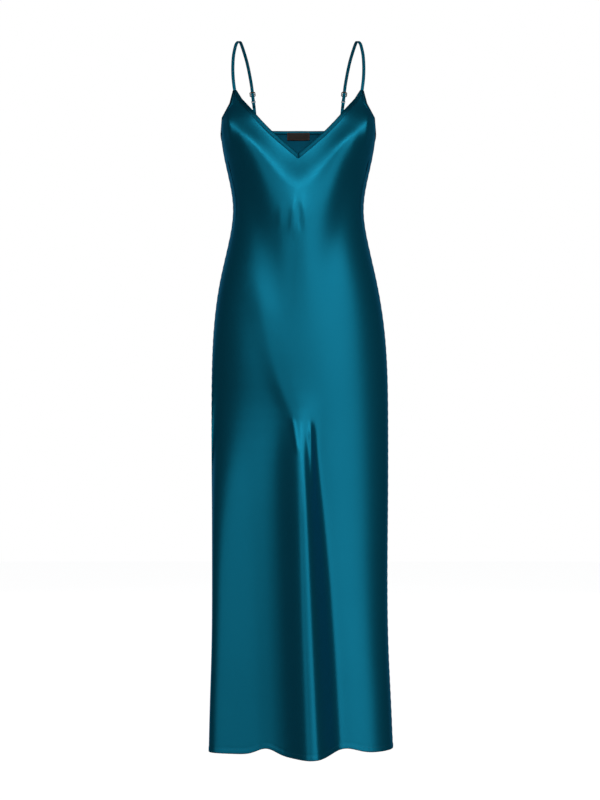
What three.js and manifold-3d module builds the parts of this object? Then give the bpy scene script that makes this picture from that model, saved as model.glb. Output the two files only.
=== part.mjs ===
// Bias-cut satin slip dress, shown worn with no wearer: an open tube of cloth
// that hangs from two thin adjustable straps.
//
// Frame: millimetres, +Z up, the front of the dress faces -Y, and the left strap
// seen from the front is at -X. The origin is midway between the two straps where
// they cross the shoulders, at the height of the straps' underside.
//
// Every cloth piece is a thin wall worked out from one surface. A level of that
// surface is a rounded section: a half width to each side seam, a depth to the
// front and a depth to the back, from the table BODY, with how square its front
// is from SQUARE. Added to it are the fullness over the bust (BUST), the flute
// down the middle of the skirt (FLUTE, FALL), the step back beside it (HIP), and
// single folds, one row each in FRONT_FOLDS and BACK_FOLDS.
import * as THREE from "three";
import { mergeVertices } from "three/addons/utils/BufferGeometryUtils.js";
import Module from "manifold-3d";

const wasm = await Module();
wasm.setup();

// ---------------------------------------------------------------- sizes, mm
const CLOTH = 1.5; // wall that stands for the satin
const GAP = 0.3; // between pieces at a seam
const SEAM_DEG = 0.1; // each panel stops this short of the side seam
const BIND = 1.0; // wall of the bias binding
const BIND_WIDTH = 6.6; // binding's width on the neckline and armholes
const BACK_BIND_WIDTH = 6.0; // and on the back's top edge
const V_Z = -221.3; // bottom of the V neck
const TIP_Z = -100.5; // top of each cup's point
const UNDERARM_Z = -178.0; // where the armholes meet the side seams
const BACK_TOP_Z = -152.7; // the back's straight top edge
const HEM_Z = -1304.0; // hem at the side seams
const HEM_TURN = 8.6; // height of the turned hem
const HEM_T = 1.2; // what the turned hem adds to the wall
const STRAP_W = 5.6; // strap's width
const STRAP_T = 1.1; // strap's thickness
const SLIDER = { w: 11.2, h: 9.2, t: 0.9, bar: 1.0, post: 1.5 };
const RING = { w: 7.8, h: 5.2, t: 0.9, wire: 0.8 };
const LABEL = { w: 42.5, h: 14.2, t: 0.8, top: -155.6 };

// A row for each level: half width, depths of the front and the back, sideways
// shift, and how square the back's section is (2 is an ellipse).
const BODY = [
  { z: -60, half: 141, front: 92, back: 96, shift: 0, nb: 2.1 },
  { z: -130, half: 141, front: 97, back: 102, shift: 0, nb: 2.1 },
  { z: -183, half: 141.5, front: 98, back: 101, shift: 0, nb: 2.1 },
  { z: -240, half: 131.8, front: 98, back: 92, shift: 0, nb: 2.1 },
  { z: -309, half: 120.9, front: 98, back: 78, shift: 0, nb: 2.1 },
  { z: -375, half: 129.4, front: 100, back: 83, shift: 0, nb: 2.1 },
  { z: -440, half: 144.0, front: 103, back: 98, shift: 0, nb: 2.15 },
  { z: -510, half: 155.4, front: 105, back: 112, shift: 1.0, nb: 2.2 },
  { z: -590, half: 161.6, front: 105, back: 117, shift: 2.2, nb: 2.25 },
  { z: -700, half: 163.4, front: 98, back: 115, shift: 2.9, nb: 2.3 },
  { z: -850, half: 162.8, front: 91, back: 112, shift: 3.3, nb: 2.4 },
  { z: -1030, half: 161.6, front: 88, back: 110, shift: 3.5, nb: 2.4 },
  { z: -1130, half: 163.2, front: 88, back: 110, shift: 4.0, nb: 2.4 },
  { z: -1215, half: 166.5, front: 88, back: 111, shift: 4.7, nb: 2.4 },
  { z: -1320, half: 170.0, front: 89, back: 112, shift: 5.7, nb: 2.4 },
];
// How square the front's section is, on its -X half and its +X half: cups and
// skirt are boxier than the waist.
const SQUARE = [
  { z: -60, nl: 2.1, nr: 2.1 },
  { z: -90, nl: 2.1, nr: 2.1 },
  { z: -108, nl: 2.3, nr: 2.3 },
  { z: -130, nl: 3.2, nr: 3.2 },
  { z: -158, nl: 4.0, nr: 4.0 },
  { z: -183, nl: 4.0, nr: 4.0 },
  { z: -210, nl: 3.2, nr: 3.2 },
  { z: -245, nl: 2.3, nr: 2.3 },
  { z: -309, nl: 2.0, nr: 2.0 },
  { z: -440, nl: 2.02, nr: 2.0 },
  { z: -510, nl: 2.08, nr: 1.92 },
  { z: -590, nl: 2.15, nr: 1.82 },
  { z: -700, nl: 2.5, nr: 1.8 },
  { z: -850, nl: 5.6, nr: 1.81 },
  { z: -1030, nl: 11.0, nr: 2.0 },
  { z: -1130, nl: 12.0, nr: 2.2 },
  { z: -1320, nl: 12.0, nr: 2.35 },
];

// The front's top edge, from the side seam to the middle, for the -X half.
const FRONT_EDGE = [
  { x: -141.5, z: UNDERARM_Z },
  { x: -139.6, z: -165.5 },
  { x: -137.6, z: -152.2 },
  { x: -135.0, z: -142.5 },
  { x: -131.2, z: -132.8 },
  { x: -126.7, z: -121 },
  { x: -122.4, z: -109 },
  { x: -118.9, z: TIP_Z },
  { x: -113.1, z: TIP_Z },
  { x: -103.1, z: -117.3 },
  { x: -93.8, z: -128.5 },
  { x: -84.5, z: -139.6 },
  { x: -77.0, z: -149.0 },
  { x: -68.0, z: -159.3 },
  { x: -57.1, z: -170.8 },
  { x: -45.1, z: -182.7 },
  { x: -31.9, z: -194.4 },
  { x: -17.5, z: -206.6 },
  { x: 0, z: V_Z },
];
const TIP_OUT = -118.9;
const TIP_IN = -113.1;

// The back's top edge, the same way.
const BACK_EDGE = [
  { x: -141.5, z: UNDERARM_Z },
  { x: -136, z: -174 },
  { x: -125, z: -167 },
  { x: -108, z: -159.6 },
  { x: -92, z: BACK_TOP_Z - 3.3 },
  { x: -80, z: BACK_TOP_Z - 2.0 },
  { x: -50, z: BACK_TOP_Z - 0.6 },
  { x: 0, z: BACK_TOP_Z },
];

// The hem rises a little between the folds.
const FRONT_HEM = [
  { x: -57, lift: 12.5, width: 24 },
  { x: 86, lift: 10.5, width: 30 },
];
const BACK_HEM = [
  { x: -66, lift: 7, width: 32 },
  { x: 48, lift: 8, width: 34 },
];

// A fold's crest runs from (top, x0) to (bottom, x1), bowed sideways in between.
// It stands h mm proud (below 0 is a trough), falls away over a width to its left
// and to its right, each from the fold's top to its bottom, and has a crest of
// that radius. It grows in from its top and fades at its bottom over in and out.
const FRONT_FOLDS = [
  { name: "hip drag", top: -400, bottom: -720, x0: -72, x1: -4, bow: -14, h0: 5, h1: 4, left0: 34, left1: 16, right0: 70, right1: 40, crest: 8, in: 120, out: 90 },
  { name: "waist trough", top: -310, bottom: -560, x0: -50, x1: -30, bow: 0, h0: -1.5, h1: -1.4, left0: 24, left1: 28, right0: 24, right1: 30, crest: 9, in: 60, out: 110 },
  { name: "second ridge", top: -690, bottom: -850, x0: 18, x1: 25, bow: 0, h0: 6, h1: 6, left0: 4, left1: 6, right0: 5, right1: 8, crest: 1.6, in: 40, out: 80 },
];
// The flute down the middle of the skirt: at each level its crest's place and
// height, and how far from the crest its steep +X side starts and ends.
const FLUTE = [
  { z: -600, x: 2, h: 0, start: 2, end: 34 },
  { z: -648, x: 3, h: 0, start: 2, end: 34 },
  { z: -678, x: 3.5, h: 4.5, start: 2, end: 32 },
  { z: -700, x: 3.5, h: 10.5, start: 2.5, end: 27 },
  { z: -735, x: 3.5, h: 20.5, start: 3, end: 24 },
  { z: -770, x: 3.5, h: 32, start: 4, end: 25 },
  { z: -850, x: 7, h: 46, start: 6.5, end: 30 },
  { z: -985, x: 11.5, h: 57, start: 9, end: 37 },
  { z: -1130, x: 16, h: 61, start: 10, end: 42 },
  { z: -1330, x: 21.5, h: 62, start: 12, end: 46 },
];
// How far its -X side has fallen, of 62, at distances from the crest.
const FALL = [
  { d: 0, drop: 0 }, { d: 8, drop: 1.5 }, { d: 20, drop: 10 }, { d: 32, drop: 22.6 }, { d: 44, drop: 34 },
  { d: 57, drop: 43 }, { d: 69, drop: 49.6 }, { d: 82, drop: 55.6 }, { d: 95, drop: 61 }, { d: 107, drop: 65.0 },
  { d: 130, drop: 70.5 }, { d: 150, drop: 74.5 }, { d: 190, drop: 81 },
];
// Below the belly the -X side of the front falls back by h from x outwards, most
// of it within the reach.
const HIP = [
  { z: -540, x: -34, h: 0, reach: 50 },
  { z: -600, x: -32, h: 10, reach: 50 },
  { z: -645, x: -24, h: 21, reach: 44 },
  { z: -700, x: -8, h: 26, reach: 32 },
  { z: -760, x: -3, h: 24, reach: 30 },
  { z: -850, x: -2, h: 14, reach: 32 },
  { z: -985, x: 2, h: 4, reach: 34 },
  { z: -1130, x: 6, h: 0, reach: 34 },
  { z: -1330, x: 10, h: 0, reach: 34 },
];
const BACK_FOLDS = [
  { name: "seat drape", top: -760, bottom: -1330, x0: -8, x1: -14, bow: 3, h0: 6, h1: 22, left0: 48, left1: 62, right0: 40, right1: 50, crest: 16, in: 220, out: 0 },
  { name: "right flute", top: -880, bottom: -1330, x0: 92, x1: 96, bow: -3, h0: 4, h1: 9, left0: 30, left1: 36, right0: 26, right1: 32, crest: 12, in: 220, out: 0 },
  { name: "left flute", top: -820, bottom: -1330, x0: -108, x1: -112, bow: 2, h0: 3, h1: 7, left0: 24, left1: 30, right0: 34, right1: 38, crest: 12, in: 220, out: 0 },
  { name: "back drag", top: -300, bottom: -520, x0: 62, x1: 12, bow: 8, h0: 2.4, h1: 2, left0: 22, left1: 26, right0: 24, right1: 28, crest: 8, in: 90, out: 90 },
];
// Fullness over the bust: it stands out along a line that sags from the cups to
// the middle, and the cloth under the V is carried forward of the waist.
const BUST = {
  low: -284, rise: 102, across: 74, middle: 14, cup: 5, at: 78, inner: 34, outer: 26,
  up: 29, upMiddle: 54, down: 42, downMiddle: 110, middleWidth: 72,
  belly: 7, bellyAt: -338, bellyUp: 76, bellyDown: 120, bellyWidth: 42,
};

// Route of the -X strap: over the shoulder from the cup's point to the slider.
const STRAP_ROUTE = [
  { x: -116.0, y: -57.0, z: TIP_Z + 2.0 },
  { x: -118.6, y: -51.5, z: -79.0 },
  { x: -119.8, y: -40.5, z: -56.0 },
  { x: -119.0, y: -26.5, z: -31.0 },
  { x: -115.6, y: -12.0, z: -9.9 },
  { x: -112.4, y: -4.0, z: -2.1 },
  { x: -108.9, y: 3.0, z: 0.6 },
  { x: -105.6, y: 13.0, z: -3.8 },
  { x: -100.4, y: 28.0, z: -18.0 },
  { x: -96.2, y: 41.5, z: -31.5 },
  { x: -92.4, y: 54.0, z: -48.0 },
  { x: -89.6, y: 63.8, z: -63.0 },
];
const HARDWARE_FROM = new THREE.Vector3(-88.0, 69.0, -72.5); // start of the straight run with slider and ring
const HARDWARE_TO = new THREE.Vector3(-84.0, 81.5, -107.5);
const LAYERS = 2.8; // between the strap's two layers
const SLIDER_AT = 14.6; // distances along the straight run
const RING_TOP_AT = 26.9;
const RING_BARS = RING.h - RING.wire;
const TAB_END = { x: -81.6, y: 84.9, z: BACK_TOP_Z - 2.0 + BIND + 2 * GAP + 0.2 };

// ------------------------------------------------------------- the surface
// Natural cubic spline through a table's column, as a function of the key.
function splineOf(keys, values) {
  const n = keys.length, h = keys.slice(1).map((k, i) => k - keys[i]);
  const c = new Array(n).fill(0), d = new Array(n).fill(0), m = new Array(n).fill(0);
  for (let i = 1; i < n - 1; i++) {
    const b = 2 * (h[i - 1] + h[i]) - h[i - 1] * c[i - 1];
    c[i] = h[i] / b;
    d[i] = (6 * ((values[i + 1] - values[i]) / h[i] - (values[i] - values[i - 1]) / h[i - 1]) - h[i - 1] * d[i - 1]) / b;
  }
  for (let i = n - 2; i > 0; i--) m[i] = d[i] - c[i] * m[i + 1];
  return (at) => {
    const x = THREE.MathUtils.clamp(at, keys[0], keys[n - 1]);
    let i = 0;
    while (i < n - 2 && x > keys[i + 1]) i++;
    const a = x - keys[i], b = keys[i + 1] - x, w = h[i];
    return (m[i] * b ** 3 + m[i + 1] * a ** 3) / (6 * w) + (values[i] / w - (m[i] * w) / 6) * b + (values[i + 1] / w - (m[i + 1] * w) / 6) * a;
  };
}
const ROW = {};
for (const k of ["half", "front", "back", "shift", "nb"]) ROW[k] = splineOf(BODY.map((r) => -r.z), BODY.map((r) => r[k]));
for (const k of ["nl", "nr"]) {
  const f = splineOf(SQUARE.map((r) => -r.z), SQUARE.map((r) => Math.log(r[k])));
  ROW[k] = (at) => Math.exp(f(at));
}
const dropOf = splineOf([...FALL.slice(1).reverse().map((r) => -r.d), ...FALL.map((r) => r.d)], [...FALL.slice(1).reverse(), ...FALL].map((r) => r.drop));
// A table's column at a level, its corners eased.
function level(table, key, z) {
  const at = (v) => {
    const i = table.findIndex((r) => r.z <= v);
    if (i === 0) return table[0][key];
    if (i < 0) return table[table.length - 1][key];
    const p = table[i - 1], q = table[i];
    return p[key] + ((q[key] - p[key]) * (p.z - v)) / (p.z - q.z);
  };
  return (2 * at(z) + at(z - 22) + at(z + 22) + 0.5 * at(z - 36) + 0.5 * at(z + 36)) / 5;
}
const lerp = (a, b, s) => a + (b - a) * s;
const between = (from, to, count) => Array.from({ length: count + 1 }, (_, i) => lerp(from, to, i / count));
const smooth = (s) => { const c = THREE.MathUtils.clamp(s, 0, 1); return c * c * c * (c * (c * 6 - 15) + 10); };
const erf = (v) => {
  const t = 1 / (1 + 0.3275911 * Math.abs(v));
  const e = 1 - t * (0.254829592 + t * (-0.284496736 + t * (1.421413741 + t * (-1.453152027 + t * 1.061405429)))) * Math.exp(-v * v);
  return v < 0 ? -e : e;
};
const bell = (d, below, above) => Math.exp(-((d / (d < 0 ? below : above)) ** 2));

function foldAt(f, x, z) {
  if (z > f.top || z < f.bottom) return 0;
  const s = (f.top - z) / (f.top - f.bottom);
  const d = x - (lerp(f.x0, f.x1, s) + 4 * f.bow * s * (1 - s));
  const w = d < 0 ? lerp(f.left0, f.left1, s) : lerp(f.right0, f.right1, s);
  const grow = smooth((f.top - z) / f.in) * (f.out ? smooth((z - f.bottom) / f.out) : 1);
  return lerp(f.h0, f.h1, s) * grow * (1 - erf((Math.hypot(d, f.crest) - f.crest) / w));
}
// An even slope from 0 to 1, its two bends softened by k.
const softRamp = (t, k) => {
  const plus = (v) => (v > 30 ? v : Math.log1p(Math.exp(v)));
  return k * (plus(t / k) - plus((t - 1) / k));
};
function fluteAt(x, z) {
  const d = x - level(FLUTE, "x", z), start = level(FLUTE, "start", z), end = level(FLUTE, "end", z);
  const fallen = dropOf(THREE.MathUtils.clamp(-d, 0, 190)) / 62;
  const flute = level(FLUTE, "h", z) * (1 - fallen - softRamp((d - start) / (end - start), 0.14));
  const t = (level(HIP, "x", z) - x) / level(HIP, "reach", z);
  return flute - level(HIP, "h", z) * (1 - Math.exp(-softRamp(t / 40, 0.005) * 40));
}
function bustAt(x, z) {
  const b = BUST, a = Math.abs(x);
  const line = b.low + b.rise * (1 - Math.exp(-((x / b.across) ** 2)));
  const proud = b.middle * (1 - smooth((a - 92) / 44)) + b.cup * bell(a - b.at, b.inner, b.outer);
  const middle = Math.exp(-((x / b.middleWidth) ** 2));
  const belly = b.belly * Math.exp(-((x / b.bellyWidth) ** 2)) * bell(z - b.bellyAt, b.bellyDown, b.bellyUp);
  return proud * bell(z - line, lerp(b.down, b.downMiddle, middle), lerp(b.up, b.upMiddle, middle)) + belly;
}
// side -1 is the front and +1 the back; angle is from the middle to the side
// seams at -90 and 90 degrees, negative towards -X.
function surface(side, angle, z) {
  const row = (c) => ROW[c](-z);
  const r = THREE.MathUtils.degToRad(angle), s = Math.sin(r), c = Math.cos(r);
  const n = side > 0 ? row("nb") : row(angle < 0 ? "nl" : "nr");
  const rho = (Math.abs(s) ** n + Math.abs(c) ** n) ** (-1 / n);
  const x = row("half") * rho * s;
  const folds = side > 0 ? BACK_FOLDS : FRONT_FOLDS;
  const hold = 1 - smooth((Math.abs(angle) - 58) / 32);
  let proud = folds.reduce((sum, f) => sum + foldAt(f, x, z), 0);
  if (side < 0) proud += fluteAt(x, z);
  proud *= hold;
  if (side < 0) proud += bustAt(x, z) * (1 - smooth((Math.abs(angle) - 66) / 24));
  return new THREE.Vector3(x + row("shift"), side * (row(side > 0 ? "back" : "front") * rho * c + proud), z);
}
// The surface's point moved out by some millimetres.
function proudOf(side, angle, z, out) {
  const p = surface(side, angle, z);
  const across = surface(side, Math.min(angle + 0.2, 90), z).sub(surface(side, Math.max(angle - 0.2, -90), z));
  const down = surface(side, angle, z - 0.5).sub(surface(side, angle, z + 0.5));
  const n = across.cross(down).normalize();
  if (n.y * side < 0 || (Math.abs(angle) > 88 && n.x * angle < 0)) n.negate();
  if (Math.abs(angle) > 89.7) n.set(Math.sign(angle), 0, n.z).normalize();
  return p.addScaledVector(n, out);
}
// The angle at which a level's surface passes through x.
function angleAt(side, x, z) {
  let lo = -90, hi = 90;
  for (let i = 0; i < 40; i++) {
    const mid = (lo + hi) / 2;
    if (surface(side, mid, z).x - ROW.shift(-z) < x) lo = mid;
    else hi = mid;
  }
  return (lo + hi) / 2;
}
// An edge table as a function of the angle, each way from the middle.
function edgeOf(side, table) {
  const steps = table.slice(1).flatMap((q, i) => between(0, 1, 6).slice(1).map((s) => ({ x: lerp(table[i].x, q.x, s), z: lerp(table[i].z, q.z, s) })));
  const rows = [table[0], ...steps].map((r) => ({ a: r.x <= -141.5 ? -90 : angleAt(side, r.x, r.z), z: r.z }));
  return (a) => {
    const at = -Math.abs(a);
    let i = 0;
    while (i < rows.length - 2 && at > rows[i + 1].a) i++;
    const p = rows[i], q = rows[i + 1];
    return lerp(p.z, q.z, THREE.MathUtils.clamp((at - p.a) / (q.a - p.a), 0, 1));
  };
}
const frontEdge = edgeOf(-1, FRONT_EDGE);
const backEdge = edgeOf(1, BACK_EDGE);
const hemAt = (side, angle) => {
  const x = surface(side, angle, HEM_Z).x;
  return (side < 0 ? FRONT_HEM : BACK_HEM).reduce((z, h) => z + h.lift * Math.exp(-(((x - h.x) / h.width) ** 2)), HEM_Z);
};
// Where lines of that width inside two stretches of an edge cross. A stretch is
// two points of the edge, each an angle and a height.
function mitre(side, one, two, width) {
  const o = one[1], p = surface(side, o.a, o.z);
  const ja = surface(side, o.a + 0.2, o.z).sub(surface(side, o.a - 0.2, o.z)).divideScalar(0.4);
  const jz = surface(side, o.a, o.z + 0.5).sub(surface(side, o.a, o.z - 0.5));
  const e1 = ja.clone().normalize(), lean = jz.dot(e1);
  const c = jz.clone().addScaledVector(e1, -lean).length();
  const e2 = jz.clone().addScaledVector(e1, -lean).divideScalar(c);
  const flat = ({ a, z }) => { const d = surface(side, a, z).sub(p); return new THREE.Vector2(d.dot(e1), d.dot(e2)); };
  const line = ([from, to]) => {
    const f = flat(from), d = flat(to).sub(f).normalize();
    return { at: f.add(new THREE.Vector2(d.y, -d.x).multiplyScalar(width)), d };
  };
  const l = line(one), m = line(two), turn = l.d.cross(m.d);
  const s = Math.abs(turn) < 0.02 ? null : m.at.clone().sub(l.at).cross(m.d) / turn;
  const q = s === null ? line([one[1], two[1]]).at : l.at.clone().addScaledVector(l.d, s);
  const dz = q.y / c;
  return { a: o.a + (q.x - dz * lean) / ja.length(), z: o.z + dz };
}
// A panel's columns: where each one starts on the edge, where it leaves the
// binding, and the angle at which it settles further down.
function columnsOf(side, edge, angles, settled, width, tip) {
  const top = angles.map((a) => ({ a, z: edge(a) }));
  const last = angles.length - 1;
  const slopeDown = (i, k) => {
    const p = surface(side, top[i].a, top[i].z), q = surface(side, top[k].a, top[k].z);
    return width * Math.hypot(1, (p.z - q.z) / Math.hypot(p.x - q.x, p.y - q.y));
  };
  return top.map((t, i) => {
    let q;
    if (i === 0) q = { a: t.a, z: t.z - slopeDown(0, 1) };
    else if (i === last) q = { a: t.a, z: t.z - slopeDown(last, last - 1) };
    else if (tip && (i === tip.out || i === tip.in)) {
      const at = mitre(side, [top[tip.out - 1], top[tip.out]], [top[tip.in], top[tip.in + 1]], width);
      q = { a: at.a + (i === tip.out ? -0.35 : 0.35), z: at.z + (i === tip.out ? 0.2 : -0.6) };
    } else if (tip && (i === last - tip.out || i === last - tip.in)) return null;
    else q = mitre(side, [top[i - 1], t], [t, top[i + 1]], width);
    return { top: t, low: q, settled: settled[i] };
  }).map((col, i, all) => {
    if (col) return col;
    const twin = all[last - i];
    return { top: top[i], low: { a: -twin.low.a, z: twin.low.z }, settled: settled[i] };
  });
}

// --------------------------------------------------------- solids from grids
// Joins rings of points, one ring after another, and closes both ends. The faces
// named in crossed are split along their other diagonal.
function loft(rings, crossed = []) {
  const n = rings[0].length, pos = [], idx = [];
  rings.forEach((ring) => ring.forEach((p) => pos.push(p.x, p.y, p.z)));
  for (let k = 0; k < rings.length - 1; k++)
    for (let i = 0; i < n; i++) {
      const a = k * n + i, b = k * n + ((i + 1) % n), c = a + n, d = b + n;
      if (crossed.includes(i)) idx.push(a, b, c, b, d, c);
      else idx.push(a, b, d, a, d, c);
    }
  const last = (rings.length - 1) * n;
  const caps = THREE.ShapeUtils.triangulateShape(flatten(rings[0]), []);
  caps.forEach(([a, b, c]) => { idx.push(a, c, b); idx.push(last + a, last + b, last + c); });
  const g = new THREE.BufferGeometry();
  g.setAttribute("position", new THREE.Float32BufferAttribute(pos, 3));
  g.setIndex(idx);
  return facingOut(g);
}
// A ring's points in its own plane, turning anticlockwise.
function flatten(ring) {
  const o = ring[0], n = new THREE.Vector3();
  ring.forEach((p, i) => n.add(p.clone().sub(o).cross(ring[(i + 1) % ring.length].clone().sub(o))));
  n.normalize();
  const u = ring[1].clone().sub(o).normalize(), v = n.clone().cross(u);
  return ring.map((p) => new THREE.Vector2(p.clone().sub(o).dot(u), p.clone().sub(o).dot(v)));
}
function facingOut(g) {
  const p = g.getAttribute("position"), idx = Array.from(g.index.array);
  let volume = 0;
  const v = (i) => new THREE.Vector3().fromBufferAttribute(p, i);
  for (let i = 0; i < idx.length; i += 3) volume += v(idx[i]).dot(v(idx[i + 1]).cross(v(idx[i + 2])));
  if (volume < 0) for (let i = 0; i < idx.length; i += 3) [idx[i + 1], idx[i + 2]] = [idx[i + 2], idx[i + 1]];
  g.setIndex(idx);
  g.computeVertexNormals();
  return g;
}
// A wall over a grid of places, inside each point by the thickness there.
function wall(side, grid, thickness, outer = 0) {
  const cols = grid.length, rows = grid[0].length, pos = [], idx = [];
  for (const inside of [false, true])
    grid.forEach((col, i) => col.forEach(({ a, z }, j) => {
      const p = proudOf(side, a, z, outer - (inside ? thickness(i, j) : 0));
      pos.push(p.x, p.y, p.z);
    }));
  const at = (layer, i, j) => layer * cols * rows + i * rows + j;
  const quad = (a, b, c, d) => idx.push(a, b, c, a, c, d);
  // The front's two halves are split as each other's mirror image.
  const flipped = (i) => side < 0 && i < (cols - 1) / 2;
  for (let i = 0; i < cols - 1; i++)
    for (let j = 0; j < rows - 1; j++) {
      const faces = [
        [at(0, i, j), at(0, i, j + 1), at(0, i + 1, j + 1), at(0, i + 1, j)],
        [at(1, i, j), at(1, i + 1, j), at(1, i + 1, j + 1), at(1, i, j + 1)],
      ];
      for (const [a, b, c, d] of faces) flipped(i) ? quad(b, c, d, a) : quad(a, b, c, d);
    }
  for (let i = 0; i < cols - 1; i++) {
    const edge = [at(0, i, 0), at(0, i + 1, 0), at(1, i + 1, 0), at(1, i, 0)];
    flipped(i) ? quad(edge[1], edge[2], edge[3], edge[0]) : quad(...edge);
    quad(at(0, i, rows - 1), at(1, i, rows - 1), at(1, i + 1, rows - 1), at(0, i + 1, rows - 1));
  }
  for (let j = 0; j < rows - 1; j++) {
    quad(at(0, 0, j), at(1, 0, j), at(1, 0, j + 1), at(0, 0, j + 1));
    quad(at(0, cols - 1, j), at(0, cols - 1, j + 1), at(1, cols - 1, j + 1), at(1, cols - 1, j));
  }
  const g = new THREE.BufferGeometry();
  g.setAttribute("position", new THREE.Float32BufferAttribute(pos, 3));
  g.setIndex(idx);
  return facingOut(g);
}
// A panel's grid: the edge, the foot of the binding, then rows down to the hem.
const panelGrid = (side, columns, shares) => columns.map((c) => {
  const hem = (a) => hemAt(side, a);
  const rows = [c.top, c.low];
  for (const s of shares) {
    const a = lerp(c.low.a, c.settled, smooth(s / 0.1));
    rows.push({ a, z: lerp(c.low.z, hem(c.settled) + HEM_TURN + 0.8, s) });
  }
  rows.push({ a: c.settled, z: hem(c.settled) + HEM_TURN }, { a: c.settled, z: hem(c.settled) });
  return rows;
});
// Binding folded over an edge: a leg outside, a leg inside, and the fold on top.
function bindingRings(side, columns, width) {
  const o1 = GAP, o2 = GAP + BIND, i1 = -CLOTH - GAP, i2 = -CLOTH - GAP - BIND;
  return columns.map(({ top, low }) => {
    const up = surface(side, top.a, top.z).sub(surface(side, low.a, low.z)).divideScalar(width);
    const q = (out) => proudOf(side, low.a, low.z, out);
    const p = (out, rise) => proudOf(side, top.a, top.z, out).addScaledVector(up, rise);
    return [q(o1), q(o2), p(o2, o2), p(i2, o2), q(i2), q(i1), p(i1, o1), p(o1, o1)];
  });
}
// Cuts a run of rings back at its ends by half the gap, where it meets another.
function cutBack(rings, atStart, atEnd) {
  const cut = (ring, next) => ring.map((p, i) => p.clone().lerp(next[i], Math.min(0.5, 0.16 / p.distanceTo(next[i]))));
  const all = rings.slice(), n = all.length;
  if (atStart) all[0] = cut(rings[0], rings[1]);
  if (atEnd) all[n - 1] = cut(rings[n - 1], rings[n - 2]);
  return all;
}
const solid = (g) => {
  const m = mergeVertices(new THREE.BufferGeometry().setAttribute("position", (g.index ? g.toNonIndexed() : g).getAttribute("position")), 1e-4);
  return new wasm.Manifold(new wasm.Mesh({ numProp: 3, vertProperties: m.attributes.position.array, triVerts: new Uint32Array(m.index.array) }));
};
const geometryOf = (s) => {
  const m = s.getMesh(), v = new Float32Array(m.numVert * 3);
  for (let i = 0; i < m.numVert; i++) v.set(m.vertProperties.subarray(i * m.numProp, i * m.numProp + 3), i * 3);
  const g = new THREE.BufferGeometry();
  g.setAttribute("position", new THREE.BufferAttribute(v, 3));
  g.setIndex(new THREE.BufferAttribute(m.triVerts, 1));
  g.computeVertexNormals();
  return g;
};

// ------------------------------------------------------------ cloth panels
const seam = 90 - SEAM_DEG;
const tipOut = angleAt(-1, TIP_OUT, TIP_Z), tipIn = angleAt(-1, TIP_IN, TIP_Z);
const bothWays = (half) => half.concat(half.slice(0, -1).reverse().map((a) => -a));
const FRONT_ANGLES = bothWays([...between(-seam, tipOut, 6), ...between(tipIn, 0, 10)]);
// Further down, the columns are close together in the middle, where the folds are.
const FRONT_SETTLED = bothWays([-seam, -79, -70.5, -62.5, -55.5, -49, -43, -37.5, -32.5, -28, -24, -20, -16, -12, -9, -6, -3, 0]);
const labelAngle = Math.abs(angleAt(1, -LABEL.w / 2, LABEL.top));
const BACK_ANGLES = bothWays([...between(-seam, -40, 5), ...between(-40, -labelAngle, 4).slice(1), -labelAngle / 2, 0]);
const TIP = { out: 6, in: 7 };
const frontColumns = columnsOf(-1, frontEdge, FRONT_ANGLES, FRONT_SETTLED, BIND_WIDTH, TIP);
const backColumns = columnsOf(1, backEdge, BACK_ANGLES, BACK_ANGLES, BACK_BIND_WIDTH);
const FRONT_ROWS = [0.028, 0.056, 0.084, 0.112, 0.14, 0.17, 0.2, 0.235, 0.275, 0.315, 0.355, 0.395, 0.435, 0.47, 0.5, 0.53, 0.565, 0.605, 0.65, 0.705, 0.765, 0.825, 0.885, 0.945, 1];
const BACK_ROWS = [0.04, 0.08, 0.12, 0.16, 0.2, 0.245, 0.29, 0.335, 0.38, 0.43, 0.5, 0.57, 0.65, 0.73, 0.82, 0.91, 1];

const satin = new THREE.MeshStandardMaterial({ color: 0x0b6d88, roughness: 0.36, metalness: 0.35, side: THREE.DoubleSide });
const satinBinding = satin.clone();
const gold = new THREE.MeshStandardMaterial({ color: 0xc79a55, roughness: 0.28, metalness: 1 });
const dyedMetal = new THREE.MeshStandardMaterial({ color: 0x0a4f63, roughness: 0.4, metalness: 0.4 });
const wovenLabel = new THREE.MeshStandardMaterial({ color: 0x3b2c2a, roughness: 0.8, metalness: 0 });

const dress = new THREE.Group();
dress.name = "slip_dress";
function add(name, geometry, material) {
  const m = new THREE.Mesh(geometry, material);
  m.name = name;
  dress.add(m);
  return m;
}

const clothAt = (rows) => (i, j) => (j >= rows + 2 ? CLOTH + HEM_T : CLOTH);
add("front_panel", wall(-1, panelGrid(-1, frontColumns, FRONT_ROWS), clothAt(FRONT_ROWS.length)), satin);
add("back_panel", wall(1, panelGrid(1, backColumns, BACK_ROWS), clothAt(BACK_ROWS.length)), satin);

// ----------------------------------------------------------------- binding
const INNER = [5]; // the face that lies against the panel's inside
const OUTER = [6, 7]; // and those that lie against its edge and its outside
const front = bindingRings(-1, frontColumns, BIND_WIDTH);
const middle = (front.length - 1) / 2, farOut = front.length - 1 - TIP.out;
add("armhole_binding_left", loft(cutBack(front.slice(0, TIP.out + 1), false, true), OUTER), satinBinding);
add("neck_binding_left", loft(cutBack(front.slice(TIP.out, middle + 1), true, true), OUTER), satinBinding);
add("neck_binding_right", loft(cutBack(front.slice(middle, farOut + 1), true, true), INNER), satinBinding);
add("armhole_binding_right", loft(cutBack(front.slice(farOut), true, false), INNER), satinBinding);
add("back_binding", loft(bindingRings(1, backColumns, BACK_BIND_WIDTH), INNER), satinBinding);

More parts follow.
